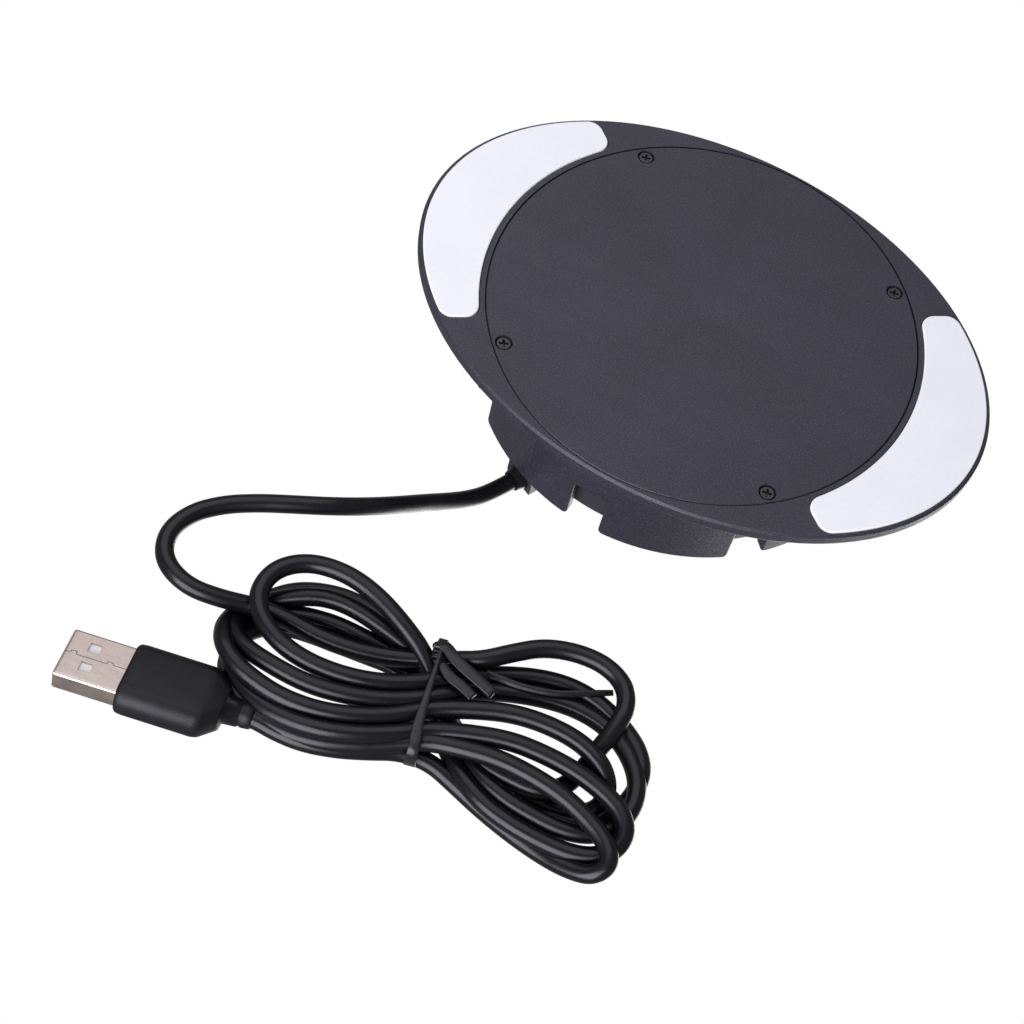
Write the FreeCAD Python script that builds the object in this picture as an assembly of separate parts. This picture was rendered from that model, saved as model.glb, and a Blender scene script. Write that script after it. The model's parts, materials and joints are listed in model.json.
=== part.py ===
"""Wired trackball: an oval base, a round crown with slots, four buttons and a ball, and its cable.

The device stands on its two pads at z = 0, with the ball on top. X runs along the oval's long axis,
and Y points to the rear, where the cable leaves. Sizes are in millimetres.
"""
import FreeCAD
import Part
import math
import os
from FreeCAD import Vector

os.makedirs("parts", exist_ok=True)

# ---------------------------------------------------------------- driving dimensions
# Base
base_length = 134.0            # oval, along X
base_width = 98.2              # oval, along Y
flange_thickness = 3.2
flange_edge_chamfer = 0.5
flange_top_fillet = 0.7
pad_edge_fillet = 0.25
cover_edge_chamfer = 0.2
switch_edge_chamfer = 0.3
plunger_edge_fillet = 0.3
opening_radius = 43.0          # clear opening above the cover's ledge

# Round bottom cover
cover_radius = 48.0
cover_thickness = 2.0
cover_gap = 0.25               # radial gap to the base shell
cover_screw_circle = 45.5
cover_screw_angles = (45, 135, 225, 315)
cover_screw_length = 9.3

# Pads (glides) in the long ends of the oval
pad_thickness = 1.2
pad_proud = 0.4                # height that the pads stand out of the base
pad_gap = 0.2
pad_land = 1.1                 # land between the cover's gap and the pad's recess
pad_inset = 0.75               # land between the pad and the oval's edge
pad_end_angle = 36.5           # half angle that a pad spans, seen from the centre
pad_corner_radius = 3.2

# Crown (upper shell)
crown_radius = 47.2
crown_wall = 3.0
crown_height = 23.7            # rim above the underside of the base
crown_slots = 8
slot_width = 7.8
slot_floor = 11.0              # above the underside of the base
rim_fillet = 0.5
slot_corner_radius = 1.2       # where a slot's sides meet the rim
groove_chamfer = 0.45          # parting groove between the crown and the flange
deck_height = 8.2              # underside of the deck above the underside of the base
deck_thickness = 1.6
seat_ring_inner = 28.0         # ring on the deck that carries the retaining ring
seat_ring_wall = 2.0
spoke_angles = (67.5, 112.5, 247.5, 292.5)
spoke_width = 8.0
spoke_drop = 0.4               # the spokes' tops lie this far under the button caps

# Button caps
cap_gap = 0.3                  # to the crown, the spokes and the retaining ring
cap_wall = 1.8
cap_edge_height = 21.8         # top edge of the skirt above the underside of the base
cap_inner_height = 27.0        # top of the inner edge above the underside of the base
cap_skirt_bottom = 10.6        # above the underside of the base
cap_edge_fillet = 0.6
button_travel = 0.5
guide_radius = 40.0            # guide pins' distance from the centre
guide_pin_radius = 1.2
guide_hole_gap = 0.3
guide_head_radius = 1.75
guide_head_height = 1.0
large_guide_angle = 50.0       # guide pins each side of a large cap's middle
small_guide_angle = 12.0

# Micro-switches
switch_radius = 35.0           # distance of the switches from the centre
switch_length = 12.8
switch_width = 5.8
switch_height = 6.5
switch_window_gap = 0.3
plunger_radius = 1.0
plunger_gap = 0.15
plunger_proud = 0.8
plunger_length = 1.8
press_gap = 0.2                # between a plunger and the cap's post
press_post_radius = 1.9

# Ball and its housing
ball_diameter = 38.0
ball_height = 26.6             # ball centre above the underside of the base
cup_gap = 1.0                  # between the ball and its housing
cup_wall = 2.6
cup_bottom = 7.2               # underside of the cup above the underside of the base
cup_window_radius = 7.5
cup_top = 28.6                 # above the underside of the base
bead_diameter = 3.0
bead_angle = 50.0              # from straight down, seen from the ball's centre
bead_directions = (90, 210, 330)
bead_clearance = 0.08
cup_deck_gap = 1.2             # between the cup and the deck's opening
housing_flange_gap = 0.3
housing_flange_root = 2.5      # the flange starts this far inside the deck's opening
housing_flange_thickness = 1.8
housing_screw_circle = 25.3
housing_screw_angles = (30, 150, 270)

# Retaining ring round the ball
ring_top = 32.4                # above the underside of the base
ring_lip_gap = 0.3             # between the ball and the ring's lip
ring_lip_thickness = 0.9
ring_outer_edge = 1.3          # height of the ring's outer edge
ring_skirt_wall = 1.5
ring_skirt_gap = 0.3
ring_skirt_depth = 4.0
ring_lip_edge = 0.5            # bevel at the lip
ring_flat = 2.6                # width of the ring's nearly flat top beside the lip
ring_flat_fall = 0.15
ring_curve = 1.6               # how late the ring's top bends down to its outer edge
ring_edge_round = 0.4
ring_edge_rise = 0.3           # outer edge above the caps' inner edge

# Circuit board and what is on it
board_radius = 41.0
board_thickness = 1.0
board_bottom = 3.0             # above the underside of the base
board_post_circle = 36.0
board_post_radius = 2.6
board_post_angles = (45, 135, 225, 315)
sensor_size = (10.0, 8.0, 1.4)
lens_size = (12.0, 10.0, 1.1)
lens_dome_radius = 2.6
lens_dome_height = 0.7
optics_gap = 0.1
lamp_radius = 1.5
lamp_height = 2.6
lamp_place = (10.5, 0.0)
controller_size = (9.0, 9.0, 1.0)
controller_place = (-16.0, -8.0)
crystal_size = (5.0, 3.2, 1.1)
crystal_place = (-16.0, 2.0)
capacitor_radius = 2.0
capacitor_height = 3.2
capacitor_spots = ((-24, 6), (-24, 0), (20, -14), (27, -8), (-12, -22))
socket_size = (6.0, 9.0, 2.6)
socket_setback = 6.2           # its middle lies this far inside the lead's end
connector_size = (3.0, 7.4, 3.4)
connector_setback = 1.6        # its middle lies this far inside the lead's end
connector_lift = 0.4           # above the board

# Fasteners
screw_shank_radius = 1.0
screw_pilot_gap = 0.05
screw_clear_gap = 0.2
cover_head_radius = 1.75
cover_head_height = 1.0
cover_head_sink = 0.3          # the head lies this far inside the cover's face
counterbore_gap = 0.2
inner_head_radius = 1.7
inner_head_height = 0.8
drive_slot_width = 0.5
drive_slot_length = 2.2
drive_slot_turn = 20.0         # the cross recesses' angle
drive_slot_share = 0.7         # of the head's height
board_screw_length = 4.4
housing_screw_length = 3.6

# Cable
cord_diameter = 3.8
exit_angle = 112.5
exit_height = 26.8             # above the underside of the base, just over the crown's rim
boss_inner = 31.8              # the cable boss on one spoke, from this distance from the centre
boss_rim_setback = 1.0         # its outer face lies this far inside the crown's outside
boss_roof = 3.5                # its top above the cable's middle
boss_root_depth = 5.0          # how far it goes down into its spoke, below the rim
boss_fillet = 1.5
bush_length = 2.2              # tip outside the boss
bush_seat = 41.5               # its inner end, from the centre
bush_root_radius = 2.9
bush_tip_radius = 2.35
bush_bore_gap = 0.05
lead_turn_radius = 4.0
lead_drop = 36.5               # distance from the centre at which the lead turns down
lead_end = 28.2                # distance from the centre at which the lead meets its connector
lead_end_height = 6.0          # above the underside of the base
lead_gap = 0.25
lead_bend_room = 0.9           # extra length of the deck's opening inside the lead's turn
first_run = 6.2                # straight run from the bush

# Bundle, tie and plug
hank_bottom = 0.2
hank_height = 11.2
waist_height = 9.2
tie_band_width = 3.0
tie_thickness = 1.0
tie_gap = 0.1
plug_direction = 165.0
plug_roll = 14.0               # the plug leans on one long edge
plug_back = (-33.0, 134.2)
plug_body_size = (20.0, 15.5, 7.5)
plug_body_fillet = 2.2
plug_neck_length = 5.6
plug_neck_radius = 3.0
shell_size = (12.6, 12.0, 4.5)     # length that shows, width, height
shell_wall = 0.35
shell_buried = 5.0
shell_window = 2.3
shell_window_from_end = 5.2
shell_window_spacing = 5.0
tongue_size = (11.0, 11.2, 1.9)
tongue_gap = 0.02              # between the tongue and the shell's lower side
contact_count = 4
contact_pitch = 2.3
contact_width = 1.1
contact_thickness = 0.25

# ---------------------------------------------------------------- levels worked out
base_bottom = pad_proud
cover_top = base_bottom + cover_thickness
flange_top = base_bottom + flange_thickness
deck_bottom = base_bottom + deck_height
deck_top = deck_bottom + deck_thickness
rim_z = base_bottom + crown_height
slot_z = base_bottom + slot_floor
crown_inner = crown_radius - crown_wall
pocket_radius = cover_radius + cover_gap
board_z = base_bottom + board_bottom
board_top = board_z + board_thickness
ball_radius = ball_diameter / 2
ball_z = base_bottom + ball_height
cup_inner = ball_radius + cup_gap
cup_outer = cup_inner + cup_wall
seat_ring_outer = seat_ring_inner + seat_ring_wall
cup_at_deck = math.sqrt(max(cup_outer ** 2 - (ball_z - deck_top) ** 2, 1.0))
deck_opening = cup_at_deck + cup_deck_gap
housing_flange_outer = seat_ring_inner - housing_flange_gap
housing_flange_top = deck_top + housing_flange_thickness
cap_inner = seat_ring_outer + cap_gap
cap_outer = crown_inner - cap_gap
cap_edge_z = base_bottom + cap_edge_height
cap_inner_z = base_bottom + cap_inner_height
cap_bottom_z = base_bottom + cap_skirt_bottom
ring_top_z = base_bottom + ring_top
switch_top = board_top + switch_height
plunger_top = switch_top + plunger_proud
exit_z = base_bottom + exit_height
boss_outer = crown_radius - boss_rim_setback
bush_end = boss_outer + bush_length
cord_radius = cord_diameter / 2
UP = Vector(0, 0, 1)
ORIGIN = Vector(0, 0, 0)


# ---------------------------------------------------------------- helpers
def save(name, shape):
    """Write one node's STEP file, with its faces cleaned of needless splits."""
    clean = shape.copy().removeSplitter()
    same = clean.isValid() and abs(clean.Volume - shape.Volume) < 1e-3
    result = clean if same else shape
    result.exportStep(f"parts/{name}.step")
    print(f"{name}: {len(result.Solids)} solid(s), {result.Volume:.1f} mm3, valid {result.isValid()}")


def cylinder(radius, low, high, x=0.0, y=0.0):
    return Part.makeCylinder(radius, high - low, Vector(x, y, low), UP)


def tube(inner, outer, low, high):
    return cylinder(outer, low, high).cut(cylinder(inner, low - 1, high + 1))


def polar(radius, degrees, z=0.0):
    turn = math.radians(degrees)
    return Vector(radius * math.cos(turn), radius * math.sin(turn), z)


def post(radius, circle, degrees, low, high):
    spot = polar(circle, degrees)
    return cylinder(radius, low, high, spot.x, spot.y)


def block(length, width, low, high, circle=0.0, degrees=0.0):
    """A box centred on a point of a circle, with its length along that point's radius."""
    shape = Part.makeBox(length, width, high - low, Vector(circle - length / 2, -width / 2, low))
    return shape.rotate(ORIGIN, UP, degrees)


def revolve(points, degrees=360.0, start=0.0):
    """Turn a closed outline of (radius, z) points about the vertical axis."""
    corners = [Vector(radius, 0, z) for radius, z in points]
    face = Part.Face(Part.makePolygon(corners + corners[:1]))
    return face.revolve(ORIGIN, UP, degrees).rotate(ORIGIN, UP, start)


def oval(half_length, half_width, low, high):
    ellipse = Part.Ellipse(Vector(0, 0, low), half_length, half_width)
    return Part.Face(Part.Wire(ellipse.toShape())).extrude(Vector(0, 0, high - low))


def join(shapes):
    return shapes[0].multiFuse(shapes[1:]) if len(shapes) > 1 else shapes[0]


def edges_at(shape, z, radius=None, slack=0.02):
    """The edges that lie wholly at one height, on one circle if a radius is given."""
    found = []
    for edge in shape.Edges:
        box = edge.BoundBox
        flat = abs(box.ZMin - z) < slack and abs(box.ZMax - z) < slack
        middle = edge.CenterOfMass if radius is None else edge.valueAt(edge.FirstParameter)
        if flat and (radius is None or abs(math.hypot(middle.x, middle.y) - radius) < slack):
            found.append(edge)
    return found


def drive_recess(low, high, x=0.0, y=0.0):
    """A cross recess, cut from below into a screw's head."""
    bars = []
    for turn in (0, 90):
        bar = Part.makeBox(drive_slot_length, drive_slot_width, high - low,
                           Vector(-drive_slot_length / 2, -drive_slot_width / 2, low))
        bar.rotate(ORIGIN, UP, turn + drive_slot_turn)
        bar.translate(Vector(x, y, 0))
        bars.append(bar)
    return join(bars)


def screw(circle, degrees, head_low, head_radius, head_height, length, recess_below=True):
    """A screw with its head at the bottom, or with its head at the top."""
    spot = polar(circle, degrees)
    head_high = head_low + head_height
    head = cylinder(head_radius, head_low, head_high, spot.x, spot.y)
    depth = head_height * drive_slot_share
    if recess_below:
        shank = cylinder(screw_shank_radius, head_high, head_high + length, spot.x, spot.y)
        recess = drive_recess(head_low - 1, head_low + depth, spot.x, spot.y)
    else:
        shank = cylinder(screw_shank_radius, head_low - length, head_low, spot.x, spot.y)
        recess = drive_recess(head_high - depth, head_high + 1, spot.x, spot.y)
    return head.fuse(shank).cut(recess)


def crescent(grow, low, high):
    """A pad's outline between the cover and the oval, grown all round by a gap."""
    inner = pocket_radius + pad_land + pad_gap - grow
    inset = pad_inset + pad_gap - grow
    shape = oval(base_length / 2 - inset, base_width / 2 - inset, low, high)
    shape = shape.cut(cylinder(inner, low - 1, high + 1))
    slope = math.radians(pad_end_angle)
    apex = Vector(-grow / math.sin(slope), 0, low - 1)
    far = base_length
    reach = (far - apex.x) * math.tan(slope)
    corners = [apex, Vector(far, -reach, low - 1), Vector(far, reach, low - 1)]
    wedge = Part.Face(Part.makePolygon(corners + corners[:1])).extrude(Vector(0, 0, high - low + 2))
    shape = shape.common(wedge)
    uprights = [e for e in shape.Edges if e.BoundBox.ZLength > (high - low) * 0.9 and abs(e.CenterOfMass.y) > inner / 3]
    return shape.makeFillet(pad_corner_radius + grow * 0.5, uprights)


# ---------------------------------------------------------------- base, cover and pads
def base_shell():
    half_length, half_width = base_length / 2, base_width / 2
    shape = oval(half_length, half_width, base_bottom, flange_top)
    outer = [e for e in shape.Edges if abs(e.BoundBox.ZMin - flange_top) < 0.01]
    shape = shape.makeFillet(flange_top_fillet, outer)
    lower = [e for e in shape.Edges if abs(e.BoundBox.ZMax - base_bottom) < 0.01]
    shape = shape.makeChamfer(flange_edge_chamfer, lower)
    shape = shape.cut(cylinder(pocket_radius, base_bottom - 1, cover_top))
    shape = shape.cut(cylinder(opening_radius, base_bottom - 1, flange_top + 1))
    right = crescent(pad_gap, base_bottom - 1, pad_thickness)
    shape = shape.cut(right).cut(right.mirror(ORIGIN, Vector(1, 0, 0)))
    for angle in cover_screw_angles:
        shape = shape.cut(post(screw_shank_radius + screw_clear_gap, cover_screw_circle, angle, 0, flange_top + 1))
    return shape


def pads():
    right = crescent(0.0, 0.0, pad_thickness)
    lower = [e for e in right.Edges if abs(e.BoundBox.ZMax) < 0.01]
    right = right.makeFillet(pad_edge_fillet, lower)
    return right, right.mirror(ORIGIN, Vector(1, 0, 0))


def bottom_cover():
    shape = cylinder(cover_radius, base_bottom, cover_top)
    shape = shape.makeChamfer(cover_edge_chamfer, edges_at(shape, base_bottom))
    head_top = base_bottom + cover_head_sink + cover_head_height
    for angle in cover_screw_angles:
        shape = shape.cut(post(cover_head_radius + counterbore_gap, cover_screw_circle, angle, 0, head_top))
        shape = shape.cut(post(screw_shank_radius + screw_clear_gap, cover_screw_circle, angle, 0, cover_top + 1))
    return shape


def cover_screws():
    low = base_bottom + cover_head_sink
    return Part.makeCompound([
        screw(cover_screw_circle, a, low, cover_head_radius, cover_head_height, cover_screw_length)
        for a in cover_screw_angles])


# ---------------------------------------------------------------- crown
def dome_outline(drop, bottom):
    """Outline of the dome that the caps and the spokes share, down to a given height."""
    rise = cap_inner_z - cap_edge_z
    span = cap_outer - cap_inner
    top = []
    for step in range(7):
        share = step / 6
        bulge = 0.6 * math.sin(math.pi * share)
        top.append((cap_outer - span * share, cap_edge_z - drop + rise * share + bulge))
    return [(cap_outer, bottom)] + top + [(cap_inner, bottom)]


def cable_boss():
    """The rounded hump on one spoke that carries the cable out over the crown's rim."""
    top = exit_z + boss_roof
    shape = Part.makeBox(boss_outer - boss_inner, spoke_width, top - rim_z + boss_root_depth,
                         Vector(boss_inner, -spoke_width / 2, rim_z - boss_root_depth))
    shape = shape.makeFillet(boss_fillet, edges_at(shape, top))
    return shape.rotate(ORIGIN, UP, exit_angle)


def upper_shell():
    wall = tube(crown_inner, crown_radius, flange_top, rim_z)
    wall = wall.makeChamfer(groove_chamfer, edges_at(wall, flange_top, crown_radius))
    for index in range(crown_slots):
        slot = block(crown_wall * 3, slot_width, slot_z, rim_z + 1, crown_radius, index * 360 / crown_slots)
        wall = wall.cut(slot)
    corners = [e for e in edges_at(wall, rim_z) if e.Curve.TypeId == "Part::GeomLine"]
    wall = wall.makeFillet(slot_corner_radius, corners)
    wall = wall.makeFillet(rim_fillet, edges_at(wall, rim_z))
    pieces = [wall, tube(seat_ring_inner, crown_inner + 0.5, deck_bottom, deck_top)]
    pieces.append(tube(deck_opening, seat_ring_inner + 0.5, deck_bottom, deck_top))
    ring_high = base_bottom + cap_inner_height - ring_outer_edge
    pieces.append(tube(seat_ring_inner, seat_ring_outer, deck_bottom, ring_high))
    dome = revolve(dome_outline(spoke_drop, deck_bottom + 0.2))
    for angle in spoke_angles:
        middle = (seat_ring_outer + crown_inner) / 2
        length = crown_inner - seat_ring_outer + 1.4
        spoke = block(length, spoke_width, deck_bottom + 0.2, cap_inner_z + 3, middle, angle)
        lower = block(length, spoke_width, deck_bottom + 0.2, cap_edge_z - 1.5, middle, angle)
        pieces.append(spoke.common(dome).fuse(lower))
    pieces.append(cable_boss())
    for angle in board_post_angles:
        pieces.append(post(board_post_radius, board_post_circle, angle, board_top, deck_bottom + 0.5))
    for angle in housing_screw_angles:
        pieces.append(post(board_post_radius, housing_screw_circle, angle, deck_bottom - 2.4, deck_bottom + 0.5))
    shell = join(pieces)

    holes = []
    pilot = screw_shank_radius + screw_pilot_gap
    for angle in cover_screw_angles:
        holes.append(post(pilot, cover_screw_circle, angle, 0, cover_top + cover_screw_length))
    for angle in board_post_angles:
        holes.append(post(pilot, board_post_circle, angle, 0, deck_bottom))
    for angle in housing_screw_angles:
        holes.append(post(pilot, housing_screw_circle, angle, deck_bottom - 2, deck_top + 1))
    for middle, spread in button_layout.values():
        window = block(switch_width + 2 * switch_window_gap, switch_length + 2 * switch_window_gap,
                       deck_bottom - 1, deck_top + 1, switch_radius, middle)
        holes.append(window)
        for side in (-1, 1):
            holes.append(post(guide_pin_radius + guide_hole_gap, guide_radius, middle + side * spread,
                              deck_bottom - 1, deck_top + 1))
    seat = Part.makeCylinder(bush_root_radius + bush_bore_gap, boss_outer + 0.1 - bush_seat,
                             Vector(bush_seat, 0, exit_z), Vector(1, 0, 0))
    holes.append(seat.rotate(ORIGIN, UP, exit_angle))
    half_channel = cord_radius + lead_gap
    channel_in = lead_drop - half_channel - lead_bend_room
    channel_out = bush_seat + 0.2
    holes.append(block(channel_out - channel_in, 2 * half_channel, deck_bottom - 1, exit_z + half_channel,
                       (channel_in + channel_out) / 2, exit_angle))
    for hole in holes:
        shell = shell.cut(hole)
    return shell


# ---------------------------------------------------------------- buttons and switches
button_layout = {
    "right": (0, large_guide_angle),
    "rear": (90, small_guide_angle),
    "left": (180, large_guide_angle),
    "front": (270, small_guide_angle),
}


def cap(middle, spread):
    """One button cap: a piece of the dome with its skirt, its press post and two guide pins."""
    skin = revolve(dome_outline(0.0, cap_bottom_z))
    skin = skin.makeFillet(cap_edge_fillet, edges_at(skin, cap_edge_z, cap_outer))
    hollow_points = [(cap_outer - cap_wall, cap_bottom_z - 1), (cap_outer - cap_wall, cap_edge_z - cap_wall),
                     (cap_inner + cap_wall, cap_inner_z - cap_wall),
                     (cap_inner + cap_wall, cap_bottom_z - 1)]
    skin = skin.cut(revolve(hollow_points))
    inner_trim = tube(cap_inner - 1, cap_inner + cap_wall + 0.5, cap_bottom_z - 1, cap_inner_z - 6)
    skin = skin.cut(inner_trim)
    skin = skin.common(sector_between(middle))
    for angle in spoke_angles:
        skin = skin.cut(block(2 * crown_radius, spoke_width + 2 * cap_gap, 0, rim_z + 20, crown_radius * 1.5, angle))
    post_bottom = plunger_top + press_gap
    pieces = [skin, post(press_post_radius, switch_radius, middle, post_bottom, dome_underside(switch_radius))]
    for side in (-1, 1):
        angle = middle + side * spread
        head_top = deck_bottom - cap_gap
        pieces.append(post(guide_pin_radius, guide_radius, angle, head_top - 0.5, dome_underside(guide_radius)))
        pieces.append(post(guide_head_radius, guide_radius, angle, head_top - guide_head_height, head_top))
    return join(pieces)


def dome_underside(radius):
    """A height inside the dome's wall at a given radius, where posts can end."""
    share = (cap_outer - radius) / (cap_outer - cap_inner)
    return cap_edge_z + (cap_inner_z - cap_edge_z) * share - cap_wall / 2


def sector_between(middle):
    """The wedge between the two spokes beside a cap's middle."""
    gaps = [(angle - middle + 180) % 360 - 180 for angle in spoke_angles]
    after = min(g for g in gaps if g > 0)
    before = max(g for g in gaps if g < 0)
    square = Part.Face(Part.makePolygon([
        Vector(1, 0, 0), Vector(crown_radius * 2, 0, 0), Vector(crown_radius * 2, 0, 80), Vector(1, 0, 80),
        Vector(1, 0, 0)]))
    return square.revolve(ORIGIN, UP, after - before).rotate(ORIGIN, UP, middle + before)


def switch_body(middle):
    body = block(switch_width, switch_length, board_top, switch_top, switch_radius, middle)
    body = body.makeChamfer(switch_edge_chamfer, edges_at(body, switch_top))
    well_bottom = plunger_top - plunger_length - button_travel - 0.2
    return body.cut(post(plunger_radius + plunger_gap, switch_radius, middle, well_bottom, switch_top + 1))


def switch_plunger(middle):
    plunger = post(plunger_radius, switch_radius, middle, plunger_top - plunger_length, plunger_top)
    return plunger.makeFillet(plunger_edge_fillet, edges_at(plunger, plunger_top))


# ---------------------------------------------------------------- ball, housing and ring
def bead_centre(direction):
    distance = ball_radius + bead_clearance + bead_diameter / 2
    lean = math.radians(bead_angle)
    return polar(distance * math.sin(lean), direction, ball_z - distance * math.cos(lean))


def ball():
    return Part.makeSphere(ball_radius, Vector(0, 0, ball_z))


def ball_housing():
    centre = Vector(0, 0, ball_z)
    top = base_bottom + cup_top
    bottom = base_bottom + cup_bottom
    cup = Part.makeSphere(cup_outer, centre).cut(cylinder(cup_outer + 1, ball_z, ball_z + cup_outer + 1))
    cup = cup.fuse(cylinder(cup_outer, ball_z, top))
    cup = cup.fuse(tube(deck_opening - housing_flange_root, housing_flange_outer, deck_top, housing_flange_top))
    cup = cup.cut(Part.makeSphere(cup_inner, centre)).cut(cylinder(cup_inner, ball_z, top + 1))
    cup = cup.cut(cylinder(cup_outer + 5, bottom - 10, bottom)).cut(cylinder(cup_window_radius, 0, ball_z))
    for direction in bead_directions:
        cup = cup.cut(Part.makeSphere(bead_diameter / 2 + bead_clearance / 4, bead_centre(direction)))
    for angle in housing_screw_angles:
        cup = cup.cut(post(screw_shank_radius + screw_clear_gap, housing_screw_circle, angle, 0, housing_flange_top + 1))
    return cup


def support_beads():
    return Part.makeCompound([Part.makeSphere(bead_diameter / 2, bead_centre(d)) for d in bead_directions])


def housing_screws():
    return Part.makeCompound([
        screw(housing_screw_circle, a, housing_flange_top, inner_head_radius, inner_head_height, housing_screw_length,
              recess_below=False)
        for a in housing_screw_angles])


def retaining_ring():
    lip_top = ring_top_z
    lip_low = lip_top - ring_lip_thickness
    ball_at_lip = math.sqrt(ball_radius ** 2 - (lip_low - ball_z) ** 2)
    lip = ball_at_lip + ring_lip_gap
    skirt_inner = cup_outer + ring_skirt_gap
    skirt_outer = skirt_inner + ring_skirt_wall
    edge_low = base_bottom + cap_inner_height - ring_outer_edge
    edge_top = base_bottom + cap_inner_height + ring_edge_rise
    cup_high = base_bottom + cup_top
    bend = lip + ring_flat
    bend_z = lip_top - ring_flat_fall
    points = [(lip, lip_low), (lip, lip_top - ring_lip_edge * 0.6), (lip + ring_lip_edge, lip_top), (bend, bend_z)]
    span = seat_ring_outer - ring_edge_round - bend
    for step in range(1, 7):
        share = step / 6
        points.append((bend + span * share, bend_z - (bend_z - edge_top) * share ** ring_curve))
    points += [(seat_ring_outer, edge_top - ring_lip_edge), (seat_ring_outer, edge_low), (skirt_outer, edge_low),
               (skirt_outer, cup_high - ring_skirt_depth), (skirt_inner, cup_high - ring_skirt_depth),
               (skirt_inner, cup_high + 0.1), (cup_inner + ring_edge_round, cup_high + 0.1)]
    return revolve(points)


# ---------------------------------------------------------------- electronics
def circuit_board():
    board = cylinder(board_radius, board_z, board_top)
    for angle in board_post_angles:
        board = board.cut(post(screw_shank_radius + screw_clear_gap, board_post_circle, angle, 0, board_top + 1))
    return board


def board_screws():
    low = board_z - inner_head_height
    return Part.makeCompound([
        screw(board_post_circle, a, low, inner_head_radius, inner_head_height, board_screw_length) for a in board_post_angles])


def chip(size, x, y, low):
    length, width, height = size
    return Part.makeBox(length, width, height, Vector(x - length / 2, y - width / 2, low))


def sensor_lens():
    low = board_top + sensor_size[2] + optics_gap
    plate = chip(lens_size, 0, 0, low)
    top = low + lens_size[2]
    ball_of_lens = (lens_dome_radius ** 2 + lens_dome_height ** 2) / (2 * lens_dome_height)
    bulge = Part.makeSphere(ball_of_lens, Vector(0, 0, top + lens_dome_height - ball_of_lens))
    return plate.fuse(bulge.common(cylinder(lens_dome_radius, top - 0.3, top + 2)))


def capacitors():
    top = board_top + capacitor_height
    return Part.makeCompound([cylinder(capacitor_radius, board_top, top, x, y) for x, y in capacitor_spots])


def board_socket():
    length, width, height = socket_size
    return block(length, width, board_top, board_top + height, lead_end - socket_setback, exit_angle)


def cable_connector():
    length, width, height = connector_size
    low = board_top + connector_lift
    return block(length, width, low, low + height, lead_end - connector_setback, exit_angle)


# ---------------------------------------------------------------- cable
def rounded_path(points, share=0.45, name=None):
    """Straight runs joined by tangent arcs, each as large as its two runs allow."""
    edges = []
    start = points[0]
    radii = []
    for before, corner, after in zip(points, points[1:], points[2:]):
        into = (corner - before).normalize()
        out = (after - corner).normalize()
        turn = into.getAngle(out)
        shorter = min((corner - before).Length, (after - corner).Length)
        cut_back = share * shorter
        radii.append(cut_back / math.tan(turn / 2))
        first = corner - into * cut_back
        last = corner + out * cut_back
        bisector = (out - into).normalize()
        depth = radii[-1] / math.cos(turn / 2) - radii[-1]
        edges.append(Part.LineSegment(start, first).toShape())
        edges.append(Part.Arc(first, corner + bisector * depth, last).toShape())
        start = last
    edges.append(Part.LineSegment(start, points[-1]).toShape())
    wire = Part.Wire(edges)
    if name:
        print(f"{name}: length {wire.Length:.1f}, radii {[round(r, 1) for r in radii]}")
    return wire


def sweep_tube(wire, radius, name):
    start = wire.Edges[0].valueAt(wire.Edges[0].FirstParameter)
    direction = wire.Edges[0].tangentAt(wire.Edges[0].FirstParameter)
    ring = Part.Wire(Part.Circle(start, direction, radius).toShape())
    solid = wire.makePipeShell([ring], True, True)
    expected = math.pi * radius ** 2 * wire.Length
    print(f"{name}: volume {solid.Volume:.1f}, section times length {expected:.1f}")
    return solid


def along_exit(radius, z):
    return polar(radius, exit_angle, z)


def cord_bush():
    """The short tapered strain relief, seated in the cable boss."""
    out = Vector(1, 0, 0)
    root = Part.makeCylinder(bush_root_radius, boss_outer - bush_seat, Vector(bush_seat, 0, exit_z), out)
    taper = Part.makeCone(bush_root_radius, bush_tip_radius, bush_length, Vector(boss_outer, 0, exit_z), out)
    bore = Part.makeCylinder(cord_radius + bush_bore_gap, 2 * crown_radius, Vector(0, 0, exit_z), out)
    return root.fuse(taper).cut(bore).rotate(ORIGIN, UP, exit_angle)


def lead_path():
    """The cable's way in: through the bush and the crown, down through the deck, to its connector."""
    low = base_bottom + lead_end_height
    corners = [along_exit(bush_end, exit_z), along_exit(lead_drop, exit_z), along_exit(lead_drop, low),
               along_exit(lead_end, low)]
    wire_edges = []
    start = corners[0]
    for before, corner, after in zip(corners, corners[1:], corners[2:]):
        into = (corner - before).normalize()
        out = (after - corner).normalize()
        first = corner - into * lead_turn_radius
        last = corner + out * lead_turn_radius
        depth = lead_turn_radius * (math.sqrt(2) - 1)
        middle = corner + (out - into).normalize() * depth
        wire_edges.append(Part.LineSegment(start, first).toShape())
        wire_edges.append(Part.Arc(first, middle, last).toShape())
        start = last
    wire_edges.append(Part.LineSegment(start, corners[-1]).toShape())
    return Part.Wire(wire_edges)


def cord_lead():
    return sweep_tube(lead_path(), cord_radius, "cord_lead")


# The cable's route from the bush to the bundle, chosen by hand.
cord_points = [
    (-18.5, 44.7, 27.2),
    (-20.9, 50.4, 27.2),
    (-25.6, 59.4, 22.4),
    (-30.2, 70.0, 13.6),
    (-35.2, 80.6, 5.0),
    (-42.8, 88.4, 2.0),
    (-51.2, 93.6, 2.0),
    (-58.6, 98.4, 2.0),
    (-62.2, 105.4, 2.0),
    (-60.2, 112.9, 2.0),
    (-53.8, 118.2, 2.0),
    (-45.5, 118.6, 2.0),
    (-38.6, 114.0, 2.0),
]


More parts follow.
